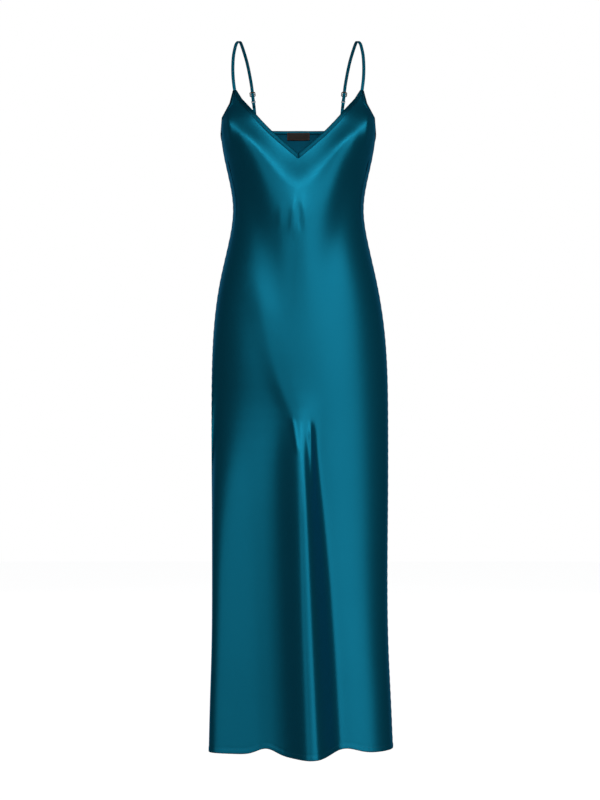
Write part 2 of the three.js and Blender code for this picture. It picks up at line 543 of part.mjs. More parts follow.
// -------------------------------------------------------- straps, hardware
const run = HARDWARE_TO.clone().sub(HARDWARE_FROM).normalize();
const wide = new THREE.Vector3(1, 0, 0).addScaledVector(run, -run.x).normalize();
const inward = wide.clone().cross(run).normalize();
if (inward.y > 0) inward.negate();
const onRun = (s, n) => HARDWARE_FROM.clone().addScaledVector(run, s).addScaledVector(inward, n);
const turn = (s, n, r, from, to, count) => between(from, to, count).map((deg) => {
  const a = THREE.MathUtils.degToRad(deg);
  return onRun(s + r * Math.cos(a), n + r * Math.sin(a));
});

// A flat strap with rounded edges, swept along points.
function strapAlong(points, widthAxisAt) {
  const w = STRAP_W / 2, t = STRAP_T / 2, c = 0.45;
  const section = [[-w, -t + c], [-w + c, -t], [w - c, -t], [w, -t + c], [w, t - c], [w - c, t], [-w + c, t], [-w, t - c]];
  const rings = points.map((p, i) => {
    const along = points[Math.min(i + 1, points.length - 1)].clone().sub(points[Math.max(i - 1, 0)]).normalize();
    const axis = widthAxisAt(i);
    const u = axis.clone().addScaledVector(along, -axis.dot(along)).normalize();
    const v = along.clone().cross(u);
    return section.map(([a, b]) => p.clone().addScaledVector(u, a).addScaledVector(v, b));
  });
  return loft(rings);
}
function mirrored(g) {
  const m = g.clone().applyMatrix4(new THREE.Matrix4().makeScale(-1, 1, 1));
  return facingOut(m);
}
function frame(w, h, bar, post, thick, holes) {
  const s = new THREE.Shape();
  const c = 0.9;
  s.moveTo(-w / 2 + c, -h / 2).lineTo(w / 2 - c, -h / 2).lineTo(w / 2, -h / 2 + c).lineTo(w / 2, h / 2 - c)
    .lineTo(w / 2 - c, h / 2).lineTo(-w / 2 + c, h / 2).lineTo(-w / 2, h / 2 - c).lineTo(-w / 2, -h / 2 + c).closePath();
  const slot = (h - (holes + 1) * bar) / holes;
  for (let k = 0; k < holes; k++) {
    const y = -h / 2 + bar + k * (slot + bar), x = w / 2 - post, r = 0.4;
    const p = new THREE.Path();
    p.moveTo(-x + r, y).lineTo(-x, y + r).lineTo(-x, y + slot - r).lineTo(-x + r, y + slot).lineTo(x - r, y + slot)
      .lineTo(x, y + slot - r).lineTo(x, y + r).lineTo(x - r, y).closePath();
    s.holes.push(p);
  }
  return new THREE.ExtrudeGeometry(s, { depth: thick, bevelEnabled: false, curveSegments: 1 }).translate(0, 0, -thick / 2);
}
// Stands a flat frame across the run, its middle at s and n.
function placed(g, s, n) {
  const m = new THREE.Matrix4().makeBasis(wide, run.clone().negate(), wide.clone().cross(run.clone().negate()));
  return facingOut(indexed(g.applyMatrix4(m).translate(...onRun(s, n).toArray())));
}
function indexed(g) {
  return mergeVertices(new THREE.BufferGeometry().setAttribute("position", g.getAttribute("position")), 1e-4);
}
const slider = (grow) => placed(frame(SLIDER.w + 2 * grow, SLIDER.h + 2 * grow, SLIDER.bar + 2 * grow, SLIDER.post + 2 * grow, SLIDER.t + 2 * grow, 2), SLIDER_AT, LAYERS / 2);

const shoulder = new THREE.CatmullRomCurve3(STRAP_ROUTE.map((r) => new THREE.Vector3(r.x, r.y, r.z)).concat([onRun(0, 0)]));
const overShoulder = shoulder.getSpacedPoints(30);
const half = SLIDER.h / 2, bars = (SLIDER.h - SLIDER.bar) / 2;
const throughSlider = [
  onRun(SLIDER_AT - half - 1.5, 0), onRun(SLIDER_AT - half + SLIDER.bar * 0.7, 0.12),
  onRun(SLIDER_AT - bars / 2 - 0.75, 0.85), onRun(SLIDER_AT - bars / 2, LAYERS / 2), onRun(SLIDER_AT - bars / 2 + 0.75, LAYERS - 0.85),
  onRun(SLIDER_AT - SLIDER.bar * 0.2, LAYERS - 0.12), onRun(SLIDER_AT + 1.6, LAYERS),
];
const strapPoints = overShoulder.concat(
  throughSlider,
  between(SLIDER_AT + 5, RING_TOP_AT - 1, 2).map((s) => onRun(s, LAYERS)),
  turn(RING_TOP_AT, LAYERS / 2, LAYERS / 2, 90, -90, 8),
  between(RING_TOP_AT - 3, SLIDER_AT - 0.4, 2).map((s) => onRun(s, 0)),
);
const shoulderAxis = new THREE.Vector3(1, 0, 0);
const strapGeometry = geometryOf(
  solid(strapAlong(strapPoints, (i) => shoulderAxis.clone().lerp(wide, THREE.MathUtils.clamp((i - 18) / 10, 0, 1)).normalize()))
    .subtract(solid(slider(0.25))),
);
const ringBottom = RING_TOP_AT + RING_BARS;
const tabCurve = new THREE.CatmullRomCurve3([
  new THREE.Vector3(TAB_END.x, TAB_END.y, TAB_END.z),
  onRun(ringBottom + 30, 0.4).lerp(new THREE.Vector3(TAB_END.x, TAB_END.y, TAB_END.z + 16), 0.6),
  onRun(ringBottom + 9, 0), onRun(ringBottom + 2.5, 0),
]);
const tabPoints = tabCurve.getSpacedPoints(9).concat(
  turn(ringBottom, LAYERS / 2, LAYERS / 2, -90, -270, 8),
  [onRun(ringBottom + 3, LAYERS), onRun(ringBottom + 8, LAYERS - 0.25)],
);
const tabGeometry = strapAlong(tabPoints, () => wide);
const ringGeometry = placed(frame(RING.w, RING.h, RING.wire, RING.wire, RING.t, 1), RING_TOP_AT + RING_BARS / 2, LAYERS / 2);
const sliderGeometry = slider(0);

for (const [hand, of] of [["left", (g) => g], ["right", mirrored]]) {
  add("strap_" + hand, of(strapGeometry), satinBinding);
  add("strap_tab_" + hand, of(tabGeometry), satinBinding);
  add("strap_slider_" + hand, of(sliderGeometry), gold);
  add("strap_ring_" + hand, of(ringGeometry), dyedMetal);
}

// ------------------------------------------------------------------- label
// Bare woven label inside the back, lying on the binding's inner leg.
const labelIn = -CLOTH - GAP - BIND - GAP;
const labelGrid = between(-labelAngle, labelAngle, 4).map((a) => between(LABEL.top, LABEL.top - LABEL.h, 2).map((z) => ({ a, z })));
add("neck_label", wall(1, labelGrid, () => LABEL.t, labelIn), wovenLabel);

export default dress;
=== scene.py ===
# Satin slip dress: the fine cloth, stitching, straps and metal around the packed
# frame, with a plain studio. Sizes in the tables are millimetres in the part's own
# frame: +Z up, front towards -Y. Meshes are made in metres.
import math
import bpy
import numpy as np
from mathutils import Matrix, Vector


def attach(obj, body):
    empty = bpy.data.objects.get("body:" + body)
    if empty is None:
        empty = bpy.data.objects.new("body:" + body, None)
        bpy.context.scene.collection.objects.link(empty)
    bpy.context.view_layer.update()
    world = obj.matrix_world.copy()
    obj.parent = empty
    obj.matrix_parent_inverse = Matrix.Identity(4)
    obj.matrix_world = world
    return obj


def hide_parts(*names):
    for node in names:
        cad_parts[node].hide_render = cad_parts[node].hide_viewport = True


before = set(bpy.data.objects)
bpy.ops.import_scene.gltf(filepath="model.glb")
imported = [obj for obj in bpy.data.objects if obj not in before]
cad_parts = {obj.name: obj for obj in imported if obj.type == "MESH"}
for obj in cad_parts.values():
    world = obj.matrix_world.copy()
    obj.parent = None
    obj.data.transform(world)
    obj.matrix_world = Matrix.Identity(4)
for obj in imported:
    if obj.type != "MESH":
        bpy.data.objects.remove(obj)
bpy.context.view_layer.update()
MM = 0.001

# ------------------------------------------------------------------ sizes, mm
CLOTH = 0.7          # satin with its turned edges, as shown
BIND = 0.8           # binding's wall
BIND_GAP = 0.12
BIND_WIDTH = 6.6
BACK_BIND_WIDTH = 6.0
V_Z, TIP_Z, UNDERARM_Z, BACK_TOP_Z, HEM_Z = -221.3, -100.5, -178.0, -152.7, -1304.0
TIP_OUT, TIP_IN = -118.9, -113.1
HEM_TURN = 8.6
STRAP_W, STRAP_T = 6.0, 1.1

BODY = [  # level, half width, depths front and back, shift, the back's squareness
    (-60, 141, 92, 96, 0, 2.1),
    (-130, 141, 97, 102, 0, 2.1),
    (-183, 141.5, 98, 101, 0, 2.1),
    (-240, 131.8, 98, 92, 0, 2.1),
    (-309, 120.9, 98, 78, 0, 2.1),
    (-375, 129.4, 100, 83, 0, 2.1),
    (-440, 144.0, 103, 98, 0, 2.15),
    (-510, 155.4, 105, 112, 1.0, 2.2),
    (-590, 161.6, 105, 117, 2.2, 2.25),
    (-700, 163.4, 98, 115, 2.9, 2.3),
    (-850, 162.8, 91, 112, 3.3, 2.4),
    (-1030, 161.6, 88, 110, 3.5, 2.4),
    (-1130, 163.2, 88, 110, 4.0, 2.4),
    (-1215, 166.5, 88, 111, 4.7, 2.4),
    (-1320, 170.0, 89, 112, 5.7, 2.4),
]
SQUARE = [  # level, how square the front is: left, right
    (-60, 2.1, 2.1), (-90, 2.1, 2.1), (-108, 2.1, 2.1), (-130, 2.6, 2.6), (-158, 5.0, 5.0), (-183, 4.6, 4.6), (-210, 3.2, 3.2),
    (-245, 2.3, 2.3), (-309, 2.0, 2.0), (-440, 1.95, 2.0), (-510, 2.0, 1.92), (-590, 2.1, 1.82), (-700, 2.5, 1.8),
    (-850, 5.6, 1.81), (-1030, 11, 2.0), (-1130, 12, 2.2), (-1320, 12, 2.35),
]
FRONT_EDGE = [  # the front's top edge, side seam to middle: x, z
    (-141.5, UNDERARM_Z), (-139.0, -165.5), (-136.2, -152.2), (-132.4, -142.5), (-128.2, -132.8),
    (-123.7, -121), (-120.2, -109), (TIP_OUT, TIP_Z), (TIP_IN, TIP_Z), (-103.1, -117.3), (-93.8, -128.5),
    (-84.5, -139.6), (-77.0, -149.0), (-68.0, -159.3), (-57.1, -170.8), (-45.1, -182.7), (-31.9, -194.4),
    (-17.5, -206.6), (0, V_Z),
]
BACK_EDGE = [
    (-141.5, UNDERARM_Z), (-136, -174), (-125, -167), (-108, -159.6), (-92, BACK_TOP_Z - 3.3),
    (-80, BACK_TOP_Z - 2.0), (-50, BACK_TOP_Z - 0.6), (0, BACK_TOP_Z),
]
FRONT_HEM = [(-57, 12.5, 24), (86, 10.5, 30)]  # x, lift, width
BACK_HEM = [(-66, 7, 32), (48, 8, 34)]

# Long folds. Each crest runs from (top, x0) to (bottom, x1), bowed sideways; it
# stands h0..h1 proud, falls away over left0..left1 and right0..right1 with a
# rounded crest, grows in from its top and fades at its bottom.
FOLD = ("name", "top", "bottom", "x0", "x1", "bow", "h0", "h1", "left0", "left1", "right0", "right1", "crest", "into", "out")
FRONT_FOLDS = [
    ("hip drag", -400, -720, -72, -4, -14, 5, 4, 34, 16, 70, 40, 8, 120, 90),
    ("cup ridge left", -126, -214, -125, -118, -3, 7, 8.5, 6, 9, 13, 19, 2, 26, 40),
    ("cup ridge right", -126, -214, 125, 118, 3, 7, 8.5, 13, 19, 6, 9, 2, 26, 40),
    ("waist trough", -310, -560, -50, -30, 0, -1.5, -1.4, 24, 28, 24, 30, 9, 60, 110),
    ("pleat left", -286, -385, -7, -12, 0, 3.4, 2.2, 6, 9, 4, 7, 2.2, 50, 45),
    ("pleat right", -286, -372, 9, 12, 0, 2.4, 1.4, 4, 6, 12, 14, 2.2, 50, 45),
    ("groove", -300, -368, 2, 3.5, 0, -1.6, -1.2, 3.5, 4, 3.5, 4, 1.2, 40, 26),
    ("pleat far left", -296, -365, -28, -35, 0, 1.2, 0.8, 6, 7, 7, 8, 3, 44, 36),
    ("second ridge", -690, -850, 18, 25, 0, 6.0, 6, 4, 6, 5, 8, 1.6, 40, 80),
    ("notch", -688, -770, -14, -2, 0, 2.6, 2.0, 6, 6, 3.5, 3.5, 1.5, 22, 30),
]
# Down a table of levels. The centre flute: crest, height, and how far from the
# crest its steep right side starts and ends. The left hip falls back from x,
# by h, most of it within the reach.
FLUTE = dict(z=(-600, -648, -678, -700, -735, -770, -850, -985, -1130, -1330), x=(2, 3, 3.5, 3.5, 3.5, 3.5, 7, 11.5, 16, 21.5),
             h=(0, 0, 4.5, 10.5, 20.5, 32, 46, 57, 61, 62), right=(2, 2, 2, 2.5, 3, 4, 6.5, 9, 10, 12), end=(34, 34, 32, 27, 24, 25, 30, 37, 42, 46))
FALL = ((0, 0), (8, 1.5), (20, 10), (32, 22.6), (44, 34), (57, 43), (69, 49.6), (82, 55.6), (95, 61), (107, 65.0), (130, 70.5), (150, 74.5), (190, 81))
HIP = dict(z=(-540, -600, -645, -700, -760, -850, -985, -1130, -1330), x=(-34, -32, -24, -8, -3, -2, 2, 6, 10),
           h=(0, 10, 21, 26, 24, 14, 4, 0, 0), reach=(50, 50, 44, 32, 30, 32, 34, 34, 34))
BACK_FOLDS = [
    ("seat drape", -760, -1330, -8, -14, 3, 6, 22, 48, 62, 40, 50, 16, 220, 0),
    ("right flute", -880, -1330, 92, 96, -3, 4, 9, 30, 36, 26, 32, 12, 220, 0),
    ("left flute", -820, -1330, -108, -112, 2, 3, 7, 24, 30, 34, 38, 12, 220, 0),
    ("back drag", -300, -520, 62, 12, 8, 2.4, 2, 22, 26, 24, 28, 8, 90, 90),
]
# The bust stands out along a line that sags from side to side.
BUST = dict(low=-284, rise=102, across=74, middle=14, cup=5, at=78, inner=34, outer=26, up=29, up_middle=54, down=42, down_middle=150,
            belly=7, belly_at=-338, belly_up=76, belly_down=120, belly_width=42)

# ------------------------------------------------------------- the surface
def spline(xs, ys):
    """Natural cubic spline through rising xs, as a function of an array."""
    xs, ys = np.asarray(xs, float), np.asarray(ys, float)
    n, h = len(xs), np.diff(xs)
    a = np.zeros((n, n)); b = np.zeros(n)
    a[0, 0] = a[-1, -1] = 1
    for i in range(1, n - 1):
        a[i, i - 1], a[i, i], a[i, i + 1] = h[i - 1], 2 * (h[i - 1] + h[i]), h[i]
        b[i] = 6 * ((ys[i + 1] - ys[i]) / h[i] - (ys[i] - ys[i - 1]) / h[i - 1])
    m = np.linalg.solve(a, b)

    def at(x):
        x = np.clip(x, xs[0], xs[-1])
        i = np.clip(np.searchsorted(xs, x) - 1, 0, n - 2)
        d, e = x - xs[i], xs[i + 1] - x
        return (m[i] * e**3 + m[i + 1] * d**3) / (6 * h[i]) + (ys[i] / h[i] - m[i] * h[i] / 6) * e + (ys[i + 1] / h[i] - m[i + 1] * h[i] / 6) * d
    return at


_z = [-r[0] for r in BODY]
ROW = {k: spline(_z, [r[i] for r in BODY]) for k, i in dict(half=1, front=2, back=3, shift=4, nb=5).items()}
ROW.update({k: spline([-r[0] for r in SQUARE], [math.log(r[i]) for r in SQUARE]) for k, i in dict(nl=1, nr=2).items()})


def row(k, z):
    v = ROW[k](-z)
    return np.exp(v) if k in ("nl", "nr") else v


def lerp(a, b, s):
    return a + (b - a) * s


def smooth(s):
    c = np.clip(s, 0, 1)
    return c * c * c * (c * (c * 6 - 15) + 10)


def erf(v):
    t = 1 / (1 + 0.3275911 * np.abs(v))
    e = 1 - t * (0.254829592 + t * (-0.284496736 + t * (1.421413741 + t * (-1.453152027 + t * 1.061405429)))) * np.exp(-v * v)
    return np.sign(v) * e


def bell(d, below, above):
    return np.exp(-((d / np.where(d < 0, below, above)) ** 2))


def fold_at(row_, x, z):
    f = dict(zip(FOLD, row_))
    s = np.clip((f["top"] - z) / (f["top"] - f["bottom"]), 0, 1)
    d = x - (lerp(f["x0"], f["x1"], s) + 4 * f["bow"] * s * (1 - s))
    w = np.where(d < 0, lerp(f["left0"], f["left1"], s), lerp(f["right0"], f["right1"], s))
    grow = smooth((f["top"] - z) / f["into"])
    if f["out"]:
        grow = grow * smooth((z - f["bottom"]) / f["out"])
    return lerp(f["h0"], f["h1"], s) * grow * (1 - erf((np.hypot(d, f["crest"]) - f["crest"]) / w))


def soft_ramp(t, k):
    return k * (np.logaddexp(0, t / k) - np.logaddexp(0, (t - 1) / k))


def table(f, k, z):
    at = lambda d: np.interp(d - z, [-v for v in f["z"]], f[k])
    return (2 * at(0) + at(22) + at(-22) + 0.5 * at(36) + 0.5 * at(-36)) / 5


fall_of = spline([-r[0] for r in reversed(FALL[1:])] + [r[0] for r in FALL], [r[1] for r in reversed(FALL[1:])] + [r[1] for r in FALL])


def flute_at(x, z):
    d = x - table(FLUTE, "x", z)
    r0, r1 = table(FLUTE, "right", z), table(FLUTE, "end", z)
    left = fall_of(np.clip(-d, 0, 190)) / 62
    flute = table(FLUTE, "h", z) * (1 - left - soft_ramp((d - r0) / (r1 - r0), 0.14))
    t = (table(HIP, "x", z) - x) / table(HIP, "reach", z)
    return flute - table(HIP, "h", z) * (1 - np.exp(-soft_ramp(t / 40, 0.005) * 40))


def bust_at(x, z):
    b, a = BUST, np.abs(x)
    line = b["low"] + b["rise"] * (1 - np.exp(-((x / b["across"]) ** 2)))
    proud = b["middle"] * (1 - smooth((a - 92) / 44)) + b["cup"] * bell(a - b["at"], b["inner"], b["outer"])
    middle = np.exp(-((x / 72.0) ** 2))
    down, up = lerp(b["down"], b["down_middle"], middle), lerp(b["up"], b["up_middle"], middle)
    belly = b["belly"] * np.exp(-((x / b["belly_width"]) ** 2)) * bell(z - b["belly_at"], b["belly_down"], b["belly_up"])
    return proud * bell(z - line, down, up) + belly


def surface(side, angle, z):
    """Points (…, 3) in mm of one side of the dress: -1 front, 1 back."""
    angle, z = np.broadcast_arrays(np.asarray(angle, float), np.asarray(z, float))
    r = np.radians(angle)
    s, c = np.sin(r), np.cos(r)
    n = row("nb", z) if side > 0 else np.where(angle < 0, row("nl", z), row("nr", z))
    rho = (np.abs(s) ** n + np.abs(c) ** n) ** (-1 / n)
    x = row("half", z) * rho * s
    hold = 1 - smooth((np.abs(angle) - 58) / 32)
    proud = sum(fold_at(f, x, z) for f in (BACK_FOLDS if side > 0 else FRONT_FOLDS))
    if side < 0:
        proud = proud + flute_at(x, z)
    proud = proud * hold
    if side < 0:
        proud = proud + bust_at(x, z) * (1 - smooth((np.abs(angle) - 66) / 24))
    depth = row("back" if side > 0 else "front", z) * rho * c
    return np.stack([x + row("shift", z), side * (depth + proud), z + 0 * x], -1)


def normal_at(side, angle, z):
    angle, z = np.broadcast_arrays(np.asarray(angle, float), np.asarray(z, float))
    a0, a1 = np.clip(angle - 0.2, -90, 90), np.clip(angle + 0.2, -90, 90)
    n = np.cross(surface(side, a1, z) - surface(side, a0, z), surface(side, angle, z - 0.5) - surface(side, angle, z + 0.5))
    n /= np.maximum(np.linalg.norm(n, axis=-1, keepdims=True), 1e-12)
    flip = np.where(np.abs(angle) > 60, np.sign(n[..., 0] * angle), np.sign(n[..., 1] * side))
    n = n * np.where(flip == 0, 1, flip)[..., None]
    edge = np.abs(angle) > 89.7
    n = np.where(edge[..., None], np.stack([np.sign(angle), 0 * angle, n[..., 2]], -1), n)
    return n / np.linalg.norm(n, axis=-1, keepdims=True)


def out_of(side, angle, z, out):
    return surface(side, angle, z) + normal_at(side, angle, z) * np.asarray(out)[..., None]


def angle_at(side, x, z):
    lo, hi = -90.0, 90.0
    for _ in range(40):
        mid = (lo + hi) / 2
        if surface(side, mid, z)[0] - row("shift", z) < x:
            lo = mid
        else:
            hi = mid
    return (lo + hi) / 2


def edge_of(side, table):
    steps = np.arange(6 * len(table) - 5) / 6
    x, z = (np.interp(steps, np.arange(len(table)), [r[k] for r in table]) for k in (0, 1))
    a = np.array([-90.0 if v <= -141.5 else angle_at(side, v, w) for v, w in zip(x, z)])
    for i in range(len(a) - 2, -1, -1):  # the edge never doubles back on itself
        a[i] = min(a[i], a[i + 1] - 0.12)
    return lambda at: np.interp(-np.abs(at), a, z)


front_edge, back_edge = edge_of(-1, FRONT_EDGE), edge_of(1, BACK_EDGE)


def hem_at(side, angle):
    x = surface(side, angle, HEM_Z + 0 * np.asarray(angle, float))[..., 0]
    z = HEM_Z + 0 * x
    for hx, lift, width in (FRONT_HEM if side < 0 else BACK_HEM):
        z = z + lift * np.exp(-(((x - hx) / width) ** 2))
    return z


def mitre(side, one, two, width):
    o = one[1]
    p = surface(side, *o)
    ja = (surface(side, o[0] + 0.2, o[1]) - surface(side, o[0] - 0.2, o[1])) / 0.4
    jz = surface(side, o[0], o[1] + 0.5) - surface(side, o[0], o[1] - 0.5)
    e1 = ja / np.linalg.norm(ja)
    lean = jz @ e1
    c = np.linalg.norm(jz - e1 * lean)
    e2 = (jz - e1 * lean) / c

    def flat(q):
        d = surface(side, *q) - p
        return np.array([d @ e1, d @ e2])

    def line(seg):
        f = flat(seg[0]); d = flat(seg[1]) - f
        d /= np.linalg.norm(d)
        return f + np.array([d[1], -d[0]]) * width, d
    (la, ld), (ma, md) = line(one), line(two)
    turn = ld[0] * md[1] - ld[1] * md[0]
    if abs(turn) < 0.02:
        q = line((one[1], two[1]))[0]
    else:
        w = ma - la
        q = la + ld * (w[0] * md[1] - w[1] * md[0]) / turn
    dz = q[1] / c
    return o[0] + (q[0] - dz * lean) / np.linalg.norm(ja), o[1] + dz


def columns_of(side, edge, angles, width, tip=None):
    top = [(float(a), float(edge(a))) for a in angles]
    last = len(top) - 1

    def down(i, k):
        p, q = surface(side, *top[i]), surface(side, *top[k])
        return width * math.hypot(1, (p[2] - q[2]) / math.hypot(p[0] - q[0], p[1] - q[1]))
    low = []
    for i, t in enumerate(top):
        if i == 0:
            low.append((t[0], t[1] - down(0, 1)))
        elif i == last:
            low.append((t[0], t[1] - down(last, last - 1)))
        elif tip and i in tip:
            at = mitre(side, (top[tip[0] - 1], top[tip[0]]), (top[tip[1]], top[tip[1] + 1]), width)
            low.append((at[0] + (-0.35 if i == tip[0] else 0.35), at[1] + (0.2 if i == tip[0] else -0.6)))
        elif tip and last - i in tip:
            low.append(None)
        else:
            low.append(mitre(side, (top[i - 1], t), (t, top[i + 1]), width))
    for i, q in enumerate(low):
        if q is None:
            low[i] = (-low[last - i][0], low[last - i][1])
    return np.array(top), np.array(low)


def between(a, b, n):
    return [a + (b - a) * i / n for i in range(n + 1)]


def both_ways(half):
    return half + [-a for a in reversed(half[:-1])]


SEAM = 89.9
tip_out, tip_in = angle_at(-1, TIP_OUT, TIP_Z), angle_at(-1, TIP_IN, TIP_Z)
ARM_N, NECK_N = 18, 60
front_angles = both_ways(between(-SEAM, tip_out, ARM_N) + between(tip_in, 0, NECK_N))
back_angles = both_ways(between(-SEAM, 0, 70))
front_top, front_low = columns_of(-1, front_edge, front_angles, BIND_WIDTH, (ARM_N, ARM_N + 1))
back_top, back_low = columns_of(1, back_edge, back_angles, BACK_BIND_WIDTH)


# ----------------------------------------------------------------- meshes
def mesh_object(name, verts, faces, uv=None, smooth_shade=True):
    me = bpy.data.meshes.new(name)
    me.from_pydata([tuple(v) for v in np.asarray(verts) * MM], [], [tuple(int(i) for i in f) for f in faces])
    me.update()
    if uv is not None:
        layer = me.uv_layers.new(name="cloth")
        loops = np.zeros(len(me.loops), int)
        me.loops.foreach_get("vertex_index", loops)
        layer.data.foreach_set("uv", np.asarray(uv)[loops].astype(np.float32).ravel())
    if smooth_shade:
        me.polygons.foreach_set("use_smooth", [True] * len(me.polygons))
    ob = bpy.data.objects.new(name, me)
    bpy.context.scene.collection.objects.link(ob)
    return ob


def fix_normals(ob):
    import bmesh
    bm = bmesh.new()
    bm.from_mesh(ob.data)
    bmesh.ops.recalc_face_normals(bm, faces=bm.faces[:])
    bm.to_mesh(ob.data)
    bm.free()


def panel(name, side, top, low, rows, settle):
    """A closed shell from a panel's top edge to its hem."""
    n = len(top)
    hem = hem_at(side, settle)
    A, Z = [top[:, 0]], [top[:, 1]]
    for s in between(0, 1, 3)[1:-1]:
        A.append(lerp(top[:, 0], low[:, 0], s)); Z.append(lerp(top[:, 1], low[:, 1], s))
    for s in rows:
        A.append(lerp(low[:, 0], settle, smooth(s / 0.1)))
        Z.append(lerp(low[:, 1], hem + HEM_TURN, s))
    for s in between(0, 1, 5)[1:]:
        A.append(settle); Z.append(lerp(hem + HEM_TURN, hem, s))
    A, Z = np.array(A), np.array(Z)
    m = len(A)
    outer = surface(side, A, Z)
    nor = normal_at(side, A, Z)
    # turned hem: a little proud, with the stitch line drawn in
    up = Z - hem[None, :]
    hem_swell = 0.35 * smooth((HEM_TURN - 0.6 - up) / 1.6) - 0.28 * np.exp(-(((up - HEM_TURN) / 0.9) ** 2))
    pucker = 0.16 * np.sin(A * 2.1 + 1.7 * np.sin(A * 0.37)) * np.exp(-(((up - HEM_TURN) / 7.0) ** 2))
    # a slight ridge and pucker along the side seams
    to_seam = (90 - np.abs(A)) * 1.7
    seam_dip = -0.35 * np.exp(-((to_seam / 1.2) ** 2)) + 0.22 * np.sin(Z * 0.42 + 1.3 * np.sin(Z * 0.043)) * np.exp(-(((to_seam - 5) / 6.0) ** 2))
    outer = outer + nor * (hem_swell + pucker + seam_dip)[..., None]
    inner = outer - nor * CLOTH
    verts = np.concatenate([outer.reshape(-1, 3), inner.reshape(-1, 3)])
    # flat cut: width along the level at the hips, length down the middle
    du = np.linalg.norm(np.diff(outer, axis=1), axis=2)
    u = np.concatenate([np.zeros((m, 1)), np.cumsum(du, 1)], 1)
    u = u - u[:, n // 2][:, None]
    dv = np.linalg.norm(np.diff(outer, axis=0), axis=2)
    v = np.concatenate([np.zeros((1, n)), np.cumsum(dv, 0)], 0) + (top[:, 1].max() - top[:, 1])[None, :]
    uv = np.stack([u, -v], -1).reshape(-1, 2) * MM
    uv = np.concatenate([uv, uv])
    at = lambda layer, j, i: layer * m * n + j * n + i
    faces = []
    for j in range(m - 1):
        for i in range(n - 1):
            faces.append((at(0, j, i), at(0, j + 1, i), at(0, j + 1, i + 1), at(0, j, i + 1)))
            faces.append((at(1, j, i), at(1, j, i + 1), at(1, j + 1, i + 1), at(1, j + 1, i)))
    for i in range(n - 1):
        faces.append((at(0, 0, i), at(0, 0, i + 1), at(1, 0, i + 1), at(1, 0, i)))
        faces.append((at(0, m - 1, i), at(1, m - 1, i), at(1, m - 1, i + 1), at(0, m - 1, i + 1)))
    for j in range(m - 1):
        faces.append((at(0, j, 0), at(1, j, 0), at(1, j + 1, 0), at(0, j + 1, 0)))
        faces.append((at(0, j, n - 1), at(0, j + 1, n - 1), at(1, j + 1, n - 1), at(1, j, n - 1)))
    ob = mesh_object(name, verts, faces, uv)
    fix_normals(ob)
    area = 0.5 * sum(np.linalg.norm(np.cross(outer[1:, :-1] - outer[:-1, :-1], outer[:-1, 1:] - outer[:-1, :-1]), axis=2).sum() for _ in (0, 1))
    return ob, area * 1e-6, float(u.max() - u.min()) * MM, float(v.max()) * MM


def closed_loft(name, rings, uv_step=None):
    """Rings of points, each closed, joined in order, with capped ends."""
    rings = np.asarray(rings)
    n, k = rings.shape[:2]
    faces = []
    for i in range(n - 1):
        for j in range(k):
            a, b = i * k + j, i * k + (j + 1) % k
            faces.append((a, b, b + k, a + k))
    faces.append(tuple(reversed(range(k))))
    faces.append(tuple((n - 1) * k + j for j in range(k)))
    along = np.concatenate([[0], np.cumsum(np.linalg.norm(np.diff(rings.mean(1), axis=0), axis=1))])
    round_ = np.concatenate([[0], np.cumsum(np.linalg.norm(np.diff(rings[n // 2], axis=0), axis=1))])
    uv = np.stack(np.broadcast_arrays(along[:, None], round_[None, :]), -1).reshape(-1, 2) * MM
    ob = mesh_object(name, rings.reshape(-1, 3), faces, uv)
    fix_normals(ob)
    return ob


def binding(name, side, top, low, width, wobble=0.0):
    """Bias binding folded over an edge, its section rounded at the fold."""
    rings = []
    g, t = BIND_GAP, BIND
    P, Q = surface(side, top[:, 0], top[:, 1]), surface(side, low[:, 0], low[:, 1])
    nP, nQ = normal_at(side, top[:, 0], top[:, 1]), normal_at(side, low[:, 0], low[:, 1])
    up = (P - Q) / width
    mid = CLOTH / 2
    r_out, r_in = mid + g + t, mid + g
    along = np.concatenate([[0], np.cumsum(np.linalg.norm(np.diff(P, axis=0), axis=1))])
    w1 = wobble * np.sin(along * 0.9 + 0.6 * np.sin(along * 0.21))
    for i in range(len(P)):
        ring = []
        foot = lambda out, s: Q[i] + nQ[i] * out + up[i] * s
        # outer leg, from its foot up
        ring.append(foot(g, 0.0)); ring.append(foot(g + t * 0.7, -0.05)); ring.append(foot(g + t, 0.35))
        dent = 0.28 + w1[i]
        ring.append(foot(g + t, 0.75)); ring.append(foot(g + t - dent, 1.15)); ring.append(foot(g + t + 0.02, 1.65))
        for s in (0.35, 0.6, 0.85):
            b = Q[i] * (1 - s) + P[i] * s
            nb = nQ[i] * (1 - s) + nP[i] * s
            ring.append(b + nb * (g + t + 0.15 * math.sin(math.pi * s)))
        for k in range(7):
            a = math.pi * k / 6
            ring.append(P[i] + nP[i] * (-mid + r_out * math.cos(a)) + up[i] * (r_out * math.sin(a)))
        ring.append(foot(-CLOTH - g - t, width * 0.6)); ring.append(foot(-CLOTH - g - t, 0.4))
        ring.append(foot(-CLOTH - g - t * 0.6, 0.0)); ring.append(foot(-CLOTH - g, 0.0))
        for k in range(3):
            a = math.pi * (1 - k / 2)
            ring.append(P[i] + nP[i] * (-mid + r_in * math.cos(a)) + up[i] * (r_in * math.sin(a)))
        rings.append(ring)
    return closed_loft(name, rings), P, Q, nP, nQ, up


# --------------------------------------------------------------- the panels
# Columns settle to an even spacing, closer in the middle, further down.
def settled_for(n, power):
    t = np.linspace(-1, 1, n)
    return SEAM * np.sign(t) * np.abs(t) ** power


